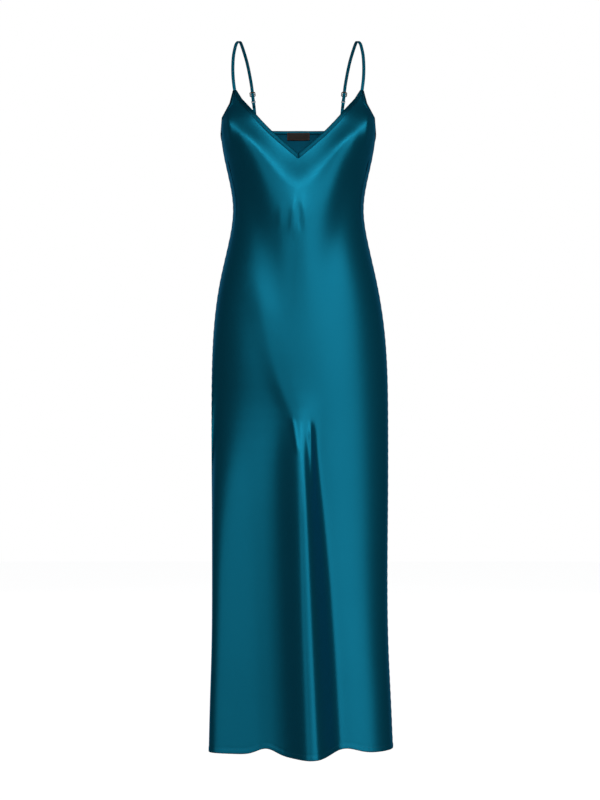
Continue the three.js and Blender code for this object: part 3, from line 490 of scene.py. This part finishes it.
front_settle = settled_for(len(front_top), 1.15)
back_settle = np.array(back_angles)
front_rows = [i / 300 for i in range(0, 301)]
back_rows = [i / 260 for i in range(0, 261)]
front_ob, front_area, front_w, front_l = panel("front_satin", -1, front_top, front_low, front_rows, front_settle)
back_ob, back_area, back_w, back_l = panel("back_satin", 1, back_top, back_low, back_rows, back_settle)
print("panel areas", round(front_area, 4), round(back_area, 4), "sizes", round(front_w, 3), round(front_l, 3), round(back_w, 3), round(back_l, 3))

mid_i = len(front_top) // 2
far_out = len(front_top) - 1 - ARM_N


def cut(arr, i, j, mm, P):
    d = np.linalg.norm(P[j] - P[i])
    return arr[i] + (arr[j] - arr[i]) * min(0.5, mm / max(d, 1e-6))


def run_of(side, top, low, lo, hi, cut_lo, cut_hi):
    t, q = top[lo:hi + 1].copy(), low[lo:hi + 1].copy()
    Pt, Pq = surface(side, t[:, 0], t[:, 1]), surface(side, q[:, 0], q[:, 1])
    if cut_lo:
        t[0], q[0] = cut(t, 0, 1, 0.08, Pt), cut(q, 0, 1, 0.08, Pq)
    if cut_hi:
        t[-1], q[-1] = cut(t, -1, -2, 0.08, Pt), cut(q, -1, -2, 0.08, Pq)
    return t, q


bindings = {}
for name, side, top, low, lo, hi, c0, c1, w in (
    ("armhole_binding_left", -1, front_top, front_low, 0, ARM_N, False, True, BIND_WIDTH),
    ("neck_binding_left", -1, front_top, front_low, ARM_N, mid_i, True, True, BIND_WIDTH),
    ("neck_binding_right", -1, front_top, front_low, mid_i, far_out, True, True, BIND_WIDTH),
    ("armhole_binding_right", -1, front_top, front_low, far_out, len(front_top) - 1, True, False, BIND_WIDTH),
    ("back_binding", 1, back_top, back_low, 0, len(back_top) - 1, False, False, BACK_BIND_WIDTH),
):
    t, q = run_of(side, top, low, lo, hi, c0, c1)
    bindings[name] = (binding(name + "_satin", side, t, q, w, 0.07), name)


# ------------------------------------------------------------------ stitches
def stitch_row(points, normals, pitch, length, radius, lift):
    """Small thread capsules along a line: returns verts and faces."""
    points, normals = np.asarray(points), np.asarray(normals)
    d = np.concatenate([[0], np.cumsum(np.linalg.norm(np.diff(points, axis=0), axis=1))])
    count = int(d[-1] / pitch)
    verts, faces = [], []
    for k in range(count):
        s0 = (k + 0.5) * pitch - length / 2
        ends = [np.array([np.interp(s, d, points[:, c]) for c in range(3)]) for s in (s0, s0 + length)]
        nn = np.array([np.interp(s0, d, normals[:, c]) for c in range(3)])
        nn /= np.linalg.norm(nn)
        axis = (ends[1] - ends[0]) / max(np.linalg.norm(ends[1] - ends[0]), 1e-9)
        side_ = np.cross(axis, nn)
        base = len(verts)
        prof = [(0.0, 0.25, -0.6), (0.18, 0.85, 0.1), (0.5, 1.0, 0.45), (0.82, 0.85, 0.1), (1.0, 0.25, -0.6)]
        for t, r, rise in prof:
            c = ends[0] * (1 - t) + ends[1] * t + nn * (lift + rise * radius)
            for j in range(6):
                a = j * math.pi / 3
                verts.append(c + side_ * (math.cos(a) * radius * r) + nn * (math.sin(a) * radius * r))
        for i in range(4):
            for j in range(6):
                a, b = base + i * 6 + j, base + i * 6 + (j + 1) % 6
                faces.append((a, b, b + 6, a + 6))
        faces.append(tuple(base + j for j in reversed(range(6))))
        faces.append(tuple(base + 24 + j for j in range(6)))
    return verts, faces


def joined(name, parts):
    verts, faces = [], []
    for v, f in parts:
        o = len(verts)
        verts += list(v)
        faces += [tuple(i + o for i in q) for q in f]
    ob = mesh_object(name, verts, faces)
    fix_normals(ob)
    return ob


stitch_parts = {"front": [], "back": []}
for (b, name) in bindings.values():
    ob, P, Q, nP, nQ, up = b
    lift = BIND_GAP + BIND - 0.12
    line = Q + up * 1.15
    keep = slice(1, -1) if "neck" in name else slice(0, None)
    stitch_parts["back" if "back" in name else "front"].append(stitch_row(line[keep], nQ[keep], 2.3, 1.75, 0.15, lift))
for key, side, settle in (("front", -1, front_settle), ("back", 1, back_settle)):
    a = np.linspace(-89.2, 89.2, 500)
    z = hem_at(side, a) + HEM_TURN
    stitch_parts[key].append(stitch_row(surface(side, a, z), normal_at(side, a, z), 2.6, 1.95, 0.15, -0.1))
front_stitch = joined("front_stitching", stitch_parts["front"])
back_stitch = joined("back_stitching", stitch_parts["back"])


# ------------------------------------------------------- straps and hardware
ROUTE = [
    (-116.0, -57.0, TIP_Z + 1.15), (-118.6, -51.5, -79.0), (-119.8, -40.5, -56.0), (-119.0, -26.5, -31.0),
    (-115.6, -12.0, -9.9), (-112.4, -4.0, -2.1), (-108.9, 3.0, 0.6), (-105.6, 13.0, -3.8), (-100.4, 28.0, -18.0),
    (-96.2, 41.5, -31.5), (-92.4, 54.0, -48.0), (-89.6, 63.8, -63.0),
]
FROM, TO = np.array([-88.0, 69.0, -72.5]), np.array([-84.0, 81.5, -107.5])
LAYERS, SLIDER_AT, RING_TOP_AT = 2.8, 14.6, 26.9
SLIDER = dict(w=11.2, h=9.2, t=0.9, bar=1.0, post=1.5)
RING = dict(w=7.8, h=5.2, t=0.9, wire=0.8)
TAB_END = np.array([-81.6, 84.9, BACK_TOP_Z - 2.0 + 1.8])
run = (TO - FROM) / np.linalg.norm(TO - FROM)
wide = np.array([1.0, 0, 0]) - run * run[0]
wide /= np.linalg.norm(wide)
inward = np.cross(wide, run)
inward /= np.linalg.norm(inward)
if inward[1] > 0:
    inward = -inward


def on_run(s, n):
    return FROM + run * s + inward * n


def catmull(pts, per=10):
    p = [2 * pts[0] - pts[1]] + list(pts) + [2 * pts[-1] - pts[-2]]
    out = []
    for i in range(1, len(p) - 2):
        for k in range(per):
            t = k / per
            out.append(0.5 * ((2 * p[i]) + (-p[i - 1] + p[i + 1]) * t + (2 * p[i - 1] - 5 * p[i] + 4 * p[i + 1] - p[i + 2]) * t * t + (-p[i - 1] + 3 * p[i] - 3 * p[i + 1] + p[i + 2]) * t**3))
    out.append(p[-2])
    return np.array(out)


def evened(points, step):
    d = np.concatenate([[0], np.cumsum(np.linalg.norm(np.diff(points, axis=0), axis=1))])
    n = max(2, int(d[-1] / step))
    s = np.linspace(0, d[-1], n + 1)
    return np.stack([np.interp(s, d, points[:, c]) for c in range(3)], 1)


def turn(s, n, r, a0, a1, count):
    return [on_run(s + r * math.cos(math.radians(a)), n + r * math.sin(math.radians(a))) for a in between(a0, a1, count)]


def strap_mesh(name, points, axis_at, mirror):
    w, t = STRAP_W / 2, STRAP_T / 2
    section = []
    for cx, cy, a0 in ((w - t * 0.8, 0, -90), (-(w - t * 0.8), 0, 90)):
        for k in range(5):
            a = math.radians(a0 + 180 * k / 4)
            section.append((cx + t * 0.8 * math.cos(a), cy + t * math.sin(a) * (0.9 if k in (0, 4) else 1)))
        # the folded strip's stitched edge and soft crown
        sgn = 1 if a0 < 0 else -1
        for f, h in ((0.62, 0.84), (0.3, 1.0), (-0.1, 1.0), (-0.5, 0.86)):
            section.append((sgn * w * f, sgn * t * h))
    rings = []
    n = len(points)
    tangents = np.gradient(points, axis=0)
    for i in range(n):
        along = tangents[i] / np.linalg.norm(tangents[i])
        axis = axis_at(i / (n - 1))
        u = axis - along * (axis @ along)
        u /= np.linalg.norm(u)
        v = np.cross(along, u)
        rings.append([points[i] + u * a + v * b for a, b in section])
    rings = np.array(rings)
    if mirror:
        rings = rings * np.array([-1, 1, 1])
    return closed_loft(name, rings)


X = np.array([1.0, 0, 0])
over = evened(catmull([np.array(p) for p in ROUTE] + [on_run(0, 0)], 12), 2.0)
half, bars = SLIDER["h"] / 2, (SLIDER["h"] - SLIDER["bar"]) / 2
thread = catmull([
    on_run(SLIDER_AT - half - 3.0, 0), on_run(SLIDER_AT - half - 1.2, 0.0), on_run(SLIDER_AT - half + 0.8, 0.08),
    on_run(SLIDER_AT - bars / 2 - 0.55, 0.75), on_run(SLIDER_AT - bars / 2, LAYERS / 2), on_run(SLIDER_AT - bars / 2 + 0.55, LAYERS - 0.75),
    on_run(SLIDER_AT - 0.25, LAYERS - 0.08), on_run(SLIDER_AT + 1.8, LAYERS), on_run(SLIDER_AT + 5, LAYERS), on_run(RING_TOP_AT - 1, LAYERS),
], 6)
loop = np.array(turn(RING_TOP_AT, LAYERS / 2, LAYERS / 2, 90, -90, 14))
back_up = np.array([on_run(s, 0) for s in between(RING_TOP_AT - 2, SLIDER_AT - 0.4, 6)])
strap_points = np.concatenate([over, thread, loop, back_up])
ring_bottom = RING_TOP_AT + RING["h"] - RING["wire"]
tab = evened(catmull([TAB_END, 0.4 * on_run(ring_bottom + 30, 0.4) + 0.6 * (TAB_END + np.array([0, 0, 16.0])), on_run(ring_bottom + 9, 0), on_run(ring_bottom + 2.5, 0)], 10), 1.6)
tab_points = np.concatenate([tab, np.array(turn(ring_bottom, LAYERS / 2, LAYERS / 2, -90, -270, 14)), np.array([on_run(ring_bottom + 3, LAYERS), on_run(ring_bottom + 8, LAYERS - 0.25)])])
n_over = len(over) / len(strap_points)


def strap_axis(s):
    k = float(np.clip((s / n_over - 0.55) / 0.4, 0, 1))
    a = X * (1 - k) + wide * k
    return a / np.linalg.norm(a)


def frame_mesh(name, w, h, wire, thick, s, n, mirror, centre_bar=None, cross=None):
    """A rounded wire frame, its section softened, standing across the run."""
    def path(hw, hh, r, per=6):
        pts = []
        for cx, cy, a0 in ((hw - r, hh - r, 0), (-hw + r, hh - r, 90), (-hw + r, -hh + r, 180), (hw - r, -hh + r, 270)):
            for k in range(per + 1):
                a = math.radians(a0 + 90 * k / per)
                pts.append((cx + r * math.cos(a), cy + r * math.sin(a), math.cos(a), math.sin(a)))
        return pts
    origin = on_run(s, n)
    normal = np.cross(wide, -run)
    place = lambda a, b, c: origin + wide * a - run * b + normal * c
    verts, faces = [], []
    ring = path(w / 2 - wire / 2, h / 2 - wire / 2, 1.1)
    k = 10
    for px, py, nx, ny in ring:
        for j in range(k):
            a = 2 * math.pi * j / k
            ca, sa = math.copysign(abs(math.cos(a)) ** 0.6, math.cos(a)), math.copysign(abs(math.sin(a)) ** 0.6, math.sin(a))
            verts.append(place(px + nx * wire / 2 * ca, py + ny * wire / 2 * ca, thick / 2 * sa))
    m = len(ring)
    for i in range(m):
        for j in range(k):
            a, b = i * k + j, i * k + (j + 1) % k
            c, d = ((i + 1) % m) * k + j, ((i + 1) % m) * k + (j + 1) % k
            faces.append((a, b, d, c))
    if centre_bar:
        base = len(verts)
        xs = between(-(w / 2 - wire * 0.8), w / 2 - wire * 0.8, 6)
        for x in xs:
            for j in range(k):
                a = 2 * math.pi * j / k
                verts.append(place(x, centre_bar / 2 * math.cos(a), thick / 2 * 0.92 * math.sin(a)))
        for i in range(len(xs) - 1):
            for j in range(k):
                a, b = base + i * k + j, base + i * k + (j + 1) % k
                faces.append((a, b, b + k, a + k))
        faces.append(tuple(base + j for j in reversed(range(k))))
        faces.append(tuple(base + (len(xs) - 1) * k + j for j in range(k)))
    v = np.array(verts)
    if mirror:
        v = v * np.array([-1, 1, 1])
    ob = mesh_object(name, v, faces)
    fix_normals(ob)
    return ob


straps = []
for hand, mirror in (("left", False), ("right", True)):
    straps.append((strap_mesh("strap_" + hand + "_satin", strap_points, strap_axis, mirror), "strap_" + hand, "satin_binding"))
    straps.append((strap_mesh("strap_tab_" + hand + "_satin", tab_points, lambda s: wide, mirror), "strap_tab_" + hand, "satin_binding"))
    straps.append((frame_mesh("strap_slider_" + hand + "_gold", SLIDER["w"], SLIDER["h"], 1.9, 0.95, SLIDER_AT, LAYERS / 2, mirror, centre_bar=1.0), "strap_slider_" + hand, "gold_metal"))
    straps.append((frame_mesh("strap_ring_" + hand + "_dyed", RING["w"], RING["h"], 0.8, 0.8, RING_TOP_AT + (RING["h"] - RING["wire"]) / 2, LAYERS / 2, mirror), "strap_ring_" + hand, "dyed_metal"))


# --------------------------------------------------------------------- label
LABEL_W, LABEL_H, LABEL_T, LABEL_TOP = 42.5, 14.2, 0.7, -155.6
label_in = -CLOTH - BIND_GAP - BIND - 0.25
la = abs(angle_at(1, -LABEL_W / 2, LABEL_TOP))
cols, rws = 44, 16
av, zv = np.linspace(-la, la, cols + 1), np.linspace(LABEL_TOP, LABEL_TOP - LABEL_H, rws + 1)
A2, Z2 = np.meshgrid(av, zv)
sagg = 0.25 * np.sin((A2 / la) * 4.0 + 0.6) * smooth((LABEL_TOP - Z2) / LABEL_H)
face_out = out_of(1, A2, Z2, label_in - LABEL_T - 0.8 * smooth((LABEL_TOP - Z2) / LABEL_H) + sagg)
face_in = face_out + normal_at(1, A2, Z2) * LABEL_T
lv = np.concatenate([face_out.reshape(-1, 3), face_in.reshape(-1, 3)])
n2, m2 = cols + 1, rws + 1
la_ = lambda l, j, i: l * n2 * m2 + j * n2 + i
lf = []
for j in range(rws):
    for i in range(cols):
        lf.append((la_(0, j, i), la_(0, j, i + 1), la_(0, j + 1, i + 1), la_(0, j + 1, i)))
        lf.append((la_(1, j, i), la_(1, j + 1, i), la_(1, j + 1, i + 1), la_(1, j, i + 1)))
for i in range(cols):
    lf.append((la_(0, 0, i), la_(1, 0, i), la_(1, 0, i + 1), la_(0, 0, i + 1)))
    lf.append((la_(0, rws, i), la_(0, rws, i + 1), la_(1, rws, i + 1), la_(1, rws, i)))
for j in range(rws):
    lf.append((la_(0, j, 0), la_(0, j + 1, 0), la_(1, j + 1, 0), la_(1, j, 0)))
    lf.append((la_(0, j, cols), la_(1, j, cols), la_(1, j + 1, cols), la_(0, j + 1, cols)))
luv = np.stack(np.meshgrid(np.linspace(0, 1, n2), np.linspace(1, 0, m2)), -1).reshape(-1, 2)
label = mesh_object("neck_label_woven", lv, lf, np.concatenate([luv, luv]))
fix_normals(label)


# ----------------------------------------------------------------- materials
def new_material(name):
    m = bpy.data.materials.new(name)
    m.use_nodes = True
    nt = m.node_tree
    return m, nt, nt.nodes["Principled BSDF"]


def math_node(nt, op, a, b=None, clamp=False):
    n = nt.nodes.new("ShaderNodeMath")
    n.operation = op
    n.use_clamp = clamp
    for k, v in enumerate((a, b)):
        if v is None:
            continue
        if isinstance(v, (int, float)):
            n.inputs[k].default_value = v
        else:
            nt.links.new(v, n.inputs[k])
    return n.outputs[0]


def satin_material(name, base, dark, rough, weave_angle, bump=0.12, metallic=0.82, inside_shade=1.0):
    m, nt, p = new_material(name)
    uv = nt.nodes.new("ShaderNodeUVMap")
    uv.uv_map = "cloth"
    rot = nt.nodes.new("ShaderNodeMapping")
    rot.inputs["Rotation"].default_value = (0, 0, math.radians(weave_angle))
    nt.links.new(uv.outputs[0], rot.inputs["Vector"])
    # long floats of the satin weave: fine threads one way, finer the other
    warp = nt.nodes.new("ShaderNodeTexWave")
    warp.wave_type, warp.bands_direction = "BANDS", "X"
    warp.inputs["Scale"].default_value = 1150
    warp.inputs["Distortion"].default_value = 1.5
    warp.inputs["Detail"].default_value = 1
    weft = nt.nodes.new("ShaderNodeTexWave")
    weft.wave_type, weft.bands_direction = "BANDS", "Y"
    weft.inputs["Scale"].default_value = 620
    weft.inputs["Distortion"].default_value = 2.5
    slub = nt.nodes.new("ShaderNodeTexNoise")
    slub.inputs["Scale"].default_value = 340
    slub.inputs["Detail"].default_value = 3
    soft = nt.nodes.new("ShaderNodeTexNoise")
    soft.inputs["Scale"].default_value = 9
    soft.inputs["Detail"].default_value = 2
    for t in (warp, weft):
        nt.links.new(rot.outputs[0], t.inputs["Vector"])
    stretch = nt.nodes.new("ShaderNodeMapping")
    stretch.inputs["Scale"].default_value = (1.0, 0.06, 1.0)
    nt.links.new(rot.outputs[0], stretch.inputs["Vector"])
    nt.links.new(stretch.outputs[0], slub.inputs["Vector"])
    nt.links.new(uv.outputs[0], soft.inputs["Vector"])
    weave = math_node(nt, "ADD", math_node(nt, "MULTIPLY", warp.outputs["Fac"], 0.55), math_node(nt, "MULTIPLY", weft.outputs["Fac"], 0.25))
    weave = math_node(nt, "ADD", weave, math_node(nt, "MULTIPLY", slub.outputs["Fac"], 0.5))
    ramp = nt.nodes.new("ShaderNodeMix")
    ramp.data_type = "RGBA"
    ramp.inputs["A"].default_value = (*dark, 1)
    ramp.inputs["B"].default_value = (*base, 1)
    fac = math_node(nt, "ADD", math_node(nt, "MULTIPLY", soft.outputs["Fac"], 0.5), math_node(nt, "MULTIPLY", weave, 0.4), clamp=True)
    nt.links.new(fac, ramp.inputs["Factor"])
    # painted shade: faces on the reverse, towards the inside of the tube, get a much darker base colour, standing in
    # for the shade inside the dress
    place = nt.nodes.new("ShaderNodeTexCoord")
    dot = nt.nodes.new("ShaderNodeVectorMath")
    dot.operation = "DOT_PRODUCT"
    nt.links.new(place.outputs["Normal"], dot.inputs[0])
    flat_xy = nt.nodes.new("ShaderNodeVectorMath")
    flat_xy.operation = "MULTIPLY"
    flat_xy.inputs[1].default_value = (1, 1, 0)
    nt.links.new(place.outputs["Object"], flat_xy.inputs[0])
    nt.links.new(flat_xy.outputs[0], dot.inputs[1])
    reverse = math_node(nt, "MULTIPLY", dot.outputs["Value"], -120.0 * inside_shade, clamp=True)
    # painted shade colour for the inside of the dress
    inside_shade_mix = nt.nodes.new("ShaderNodeMix")
    inside_shade_mix.data_type = "RGBA"
    inside_shade_mix.inputs["B"].default_value = (base[0] * 0.2, base[1] * 0.2, base[2] * 0.22, 1)
    nt.links.new(reverse, inside_shade_mix.inputs["Factor"])
    nt.links.new(ramp.outputs["Result"], inside_shade_mix.inputs["A"])
    nt.links.new(inside_shade_mix.outputs["Result"], p.inputs["Base Color"])
    r = math_node(nt, "ADD", math_node(nt, "MULTIPLY", slub.outputs["Fac"], 0.06), rough - 0.03)
    nt.links.new(r, p.inputs["Roughness"])
    p.inputs["Metallic"].default_value = metallic
    p.inputs["Specular IOR Level"].default_value = 0.25
    p.inputs["Specular Tint"].default_value = (0.04, 0.62, 0.95, 1)
    p.inputs["Sheen Weight"].default_value = 0.02
    p.inputs["Sheen Roughness"].default_value = 0.35
    p.inputs["Sheen Tint"].default_value = (0.25, 0.75, 0.9, 1)
    b = nt.nodes.new("ShaderNodeBump")
    b.inputs["Strength"].default_value = bump
    b.inputs["Distance"].default_value = 0.00012
    nt.links.new(weave, b.inputs["Height"])
    nt.links.new(b.outputs[0], p.inputs["Normal"])
    return m


TEAL, TEAL_DARK = (0.012, 0.33, 0.52), (0.008, 0.28, 0.45)
satin = satin_material("satin_bias", TEAL, TEAL_DARK, 0.36, 45)
# painted shade: the bindings' satin is a darker copy of the dress's satin, standing in for the shade on the bindings,
# which face up
satin_trim_shaded = satin_material("satin_trim_shaded", (0.005, 0.16, 0.26), (0.004, 0.13, 0.21), 0.42, 20, 0.2, inside_shade=0.0)
satin_strap = satin_material("satin_strap", (0.009, 0.26, 0.41), (0.006, 0.21, 0.34), 0.5, 90, 0.015, 0.45, inside_shade=0.0)

thread, nt, p = new_material("thread_teal")
tn = nt.nodes.new("ShaderNodeTexNoise")
tn.inputs["Scale"].default_value = 2600
co = nt.nodes.new("ShaderNodeTexCoord")
nt.links.new(co.outputs["Object"], tn.inputs["Vector"])
cr = nt.nodes.new("ShaderNodeValToRGB")
cr.color_ramp.elements[0].color = (0.01, 0.13, 0.19, 1)
cr.color_ramp.elements[1].color = (0.03, 0.27, 0.36, 1)
nt.links.new(tn.outputs["Fac"], cr.inputs[0])
nt.links.new(cr.outputs[0], p.inputs["Base Color"])
p.inputs["Roughness"].default_value = 0.5
p.inputs["Sheen Weight"].default_value = 0.15

gold, nt, p = new_material("gold_plate")
gn = nt.nodes.new("ShaderNodeTexNoise")
gn.inputs["Scale"].default_value = 900
gn.inputs["Detail"].default_value = 4
co = nt.nodes.new("ShaderNodeTexCoord")
nt.links.new(co.outputs["Object"], gn.inputs["Vector"])
gr = nt.nodes.new("ShaderNodeValToRGB")
gr.color_ramp.elements[0].color = (0.2, 0.11, 0.035, 1)
gr.color_ramp.elements[1].color = (0.34, 0.2, 0.07, 1)
nt.links.new(gn.outputs["Fac"], gr.inputs[0])
nt.links.new(gr.outputs[0], p.inputs["Base Color"])
p.inputs["Metallic"].default_value = 1.0
nt.links.new(math_node(nt, "ADD", math_node(nt, "MULTIPLY", gn.outputs["Fac"], 0.14), 0.16), p.inputs["Roughness"])

dyed, nt, p = new_material("dyed_metal")
dn = nt.nodes.new("ShaderNodeTexNoise")
dn.inputs["Scale"].default_value = 700
co = nt.nodes.new("ShaderNodeTexCoord")
nt.links.new(co.outputs["Object"], dn.inputs["Vector"])
dr = nt.nodes.new("ShaderNodeValToRGB")
dr.color_ramp.elements[0].color = (0.005, 0.1, 0.15, 1)
dr.color_ramp.elements[1].color = (0.01, 0.17, 0.24, 1)
nt.links.new(dn.outputs["Fac"], dr.inputs[0])
nt.links.new(dr.outputs[0], p.inputs["Base Color"])
p.inputs["Metallic"].default_value = 0.3
nt.links.new(math_node(nt, "ADD", math_node(nt, "MULTIPLY", dn.outputs["Fac"], 0.1), 0.25), p.inputs["Roughness"])

woven, nt, p = new_material("woven_label")
uv = nt.nodes.new("ShaderNodeUVMap")
uv.uv_map = "cloth"
sep = nt.nodes.new("ShaderNodeSeparateXYZ")
nt.links.new(uv.outputs[0], sep.inputs[0])
# distance from the rim, in mm, both ways
ex = math_node(nt, "MULTIPLY", math_node(nt, "SUBTRACT", 0.5, math_node(nt, "ABSOLUTE", math_node(nt, "SUBTRACT", sep.outputs[0], 0.5))), LABEL_W)
ey = math_node(nt, "MULTIPLY", math_node(nt, "SUBTRACT", 0.5, math_node(nt, "ABSOLUTE", math_node(nt, "SUBTRACT", sep.outputs[1], 0.5))), LABEL_H)
rim = math_node(nt, "MINIMUM", ex, ey)
inside = math_node(nt, "MULTIPLY", math_node(nt, "SUBTRACT", rim, 0.9), 2.2, clamp=True)
sc = nt.nodes.new("ShaderNodeMapping")
sc.inputs["Scale"].default_value = (LABEL_W, LABEL_H, 1)
nt.links.new(uv.outputs[0], sc.inputs["Vector"])
w1 = nt.nodes.new("ShaderNodeTexWave")
w1.bands_direction = "X"
w1.inputs["Scale"].default_value = 1.3
w2 = nt.nodes.new("ShaderNodeTexWave")
w2.bands_direction = "Y"
w2.inputs["Scale"].default_value = 1.1
for w in (w1, w2):
    w.inputs["Distortion"].default_value = 0.6
    nt.links.new(sc.outputs[0], w.inputs["Vector"])
wv = math_node(nt, "MULTIPLY", w1.outputs["Fac"], w2.outputs["Fac"])
mixr = nt.nodes.new("ShaderNodeMix")
mixr.data_type = "RGBA"
mixr.inputs["A"].default_value = (0.21, 0.085, 0.06, 1)
mixr.inputs["B"].default_value = (0.085, 0.06, 0.053, 1)
nt.links.new(inside, mixr.inputs["Factor"])
mixw = nt.nodes.new("ShaderNodeMix")
mixw.data_type, mixw.blend_type = "RGBA", "MULTIPLY"
mixw.inputs["Factor"].default_value = 0.35
nt.links.new(mixr.outputs["Result"], mixw.inputs["A"])
grey = nt.nodes.new("ShaderNodeCombineColor")
for k in range(3):
    nt.links.new(wv, grey.inputs[k])
nt.links.new(grey.outputs[0], mixw.inputs["B"])
nt.links.new(mixw.outputs["Result"], p.inputs["Base Color"])
p.inputs["Roughness"].default_value = 0.75
p.inputs["Sheen Weight"].default_value = 0.2
bb = nt.nodes.new("ShaderNodeBump")
bb.inputs["Strength"].default_value = 0.4
bb.inputs["Distance"].default_value = 0.0002
nt.links.new(wv, bb.inputs["Height"])
nt.links.new(bb.outputs[0], p.inputs["Normal"])


def dress_in(ob, material, node):
    ob.data.materials.clear()
    ob.data.materials.append(material)
    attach(ob, "root")
    if node:
        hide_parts(node)


dress_in(front_ob, satin, "front_panel")
dress_in(back_ob, satin, "back_panel")
for (b, name) in bindings.values():
    dress_in(b[0], satin_trim_shaded, name)
dress_in(front_stitch, thread, None)
dress_in(back_stitch, thread, None)
for ob, node, slot in straps:
    dress_in(ob, {"satin_binding": satin_strap, "gold_metal": gold, "dyed_metal": dyed}[slot], node)
dress_in(label, woven, "neck_label")

# -------------------------------------------------------------------- studio
def area_light(name, at, look, size, size_y, power, colour=(1, 1, 1)):
    d = bpy.data.lights.new(name, "AREA")
    d.shape, d.size, d.size_y, d.energy, d.color = "RECTANGLE", size, size_y, power, colour
    ob = bpy.data.objects.new(name, d)
    ob.location = at
    ob.rotation_euler = (Vector(look) - Vector(at)).to_track_quat("-Z", "Y").to_euler()
    bpy.context.scene.collection.objects.link(ob)
    return ob


def panel_light(name, az0, az1, z0, z1, radiance, away=4.5):
    """A tall soft panel between two bearings from the dress, right of the camera positive."""
    mid, half_ = math.radians((az0 + az1) / 2), math.radians((az1 - az0) / 2)
    w, h = 2 * away * math.tan(half_), z1 - z0
    zc = (z0 + z1) / 2
    at = (away * math.sin(mid), -away * math.cos(mid), zc)
    return area_light(name, at, (0, 0, zc), w, h, radiance * math.pi * w * h)


panel_light("soft_left", -54, -12, -2.9, 2.7, 0.33)
panel_light("soft_middle", -8, 24, -2.9, 2.7, 0.32)
panel_light("soft_right", 24, 64, -2.9, 2.7, 0.62)
panel_light("upper_left", -60, -16, 0.95, 1.85, 0.85, 4.4)
panel_light("upper_middle", -16, 20, 0.85, 1.95, 1.9, 4.4)
panel_light("upper_right", 20, 60, 0.9, 1.85, 0.8, 4.4)
panel_light("rim_left", -162, -134, -2.2, 1.2, 0.24)
panel_light("rim_right", 134, 162, -2.2, 1.2, 0.16)

world = bpy.data.worlds.new("studio")
bpy.context.scene.world = world
world.use_nodes = True
wn = world.node_tree
bg = wn.nodes["Background"]
bg.inputs["Color"].default_value = (0.9, 0.95, 1.0, 1)
bg.inputs["Strength"].default_value = 0.045
seen = wn.nodes.new("ShaderNodeBackground")
seen.inputs["Color"].default_value = (1, 1, 1, 1)
seen.inputs["Strength"].default_value = 1.0
lp = wn.nodes.new("ShaderNodeLightPath")
mx = wn.nodes.new("ShaderNodeMixShader")
wn.links.new(lp.outputs["Is Camera Ray"], mx.inputs[0])
wn.links.new(bg.outputs[0], mx.inputs[1])
wn.links.new(seen.outputs[0], mx.inputs[2])
wn.links.new(mx.outputs[0], wn.nodes["World Output"].inputs["Surface"])

floor = mesh_object("floor", np.array([(-6000, -3000, -1460), (6000, -3000, -1460), (6000, 6000, -1460), (-6000, 6000, -1460)], float), [(0, 1, 2, 3)], smooth_shade=False)
fm, nt, p = new_material("floor_pale")
p.inputs["Base Color"].default_value = (0.9, 0.9, 0.9, 1)
p.inputs["Roughness"].default_value = 0.8
p.inputs["Emission Color"].default_value = (1, 1, 1, 1)
p.inputs["Emission Strength"].default_value = 0.93
floor.data.materials.append(fm)
floor.visible_glossy = False
floor.visible_diffuse = False
floor.visible_shadow = False

cam = bpy.data.cameras.new("camera")
cam.lens = 87.57
cam.sensor_width = 36
cam.clip_end = 50
co = bpy.data.objects.new("camera", cam)
co.location = (0.0031, -3.6, -0.6632)
co.rotation_euler = (math.radians(90), 0, 0)
bpy.context.scene.collection.objects.link(co)
bpy.context.scene.camera = co
bpy.context.scene.view_settings.view_transform = "Standard"
bpy.context.scene.view_settings.look = "None"
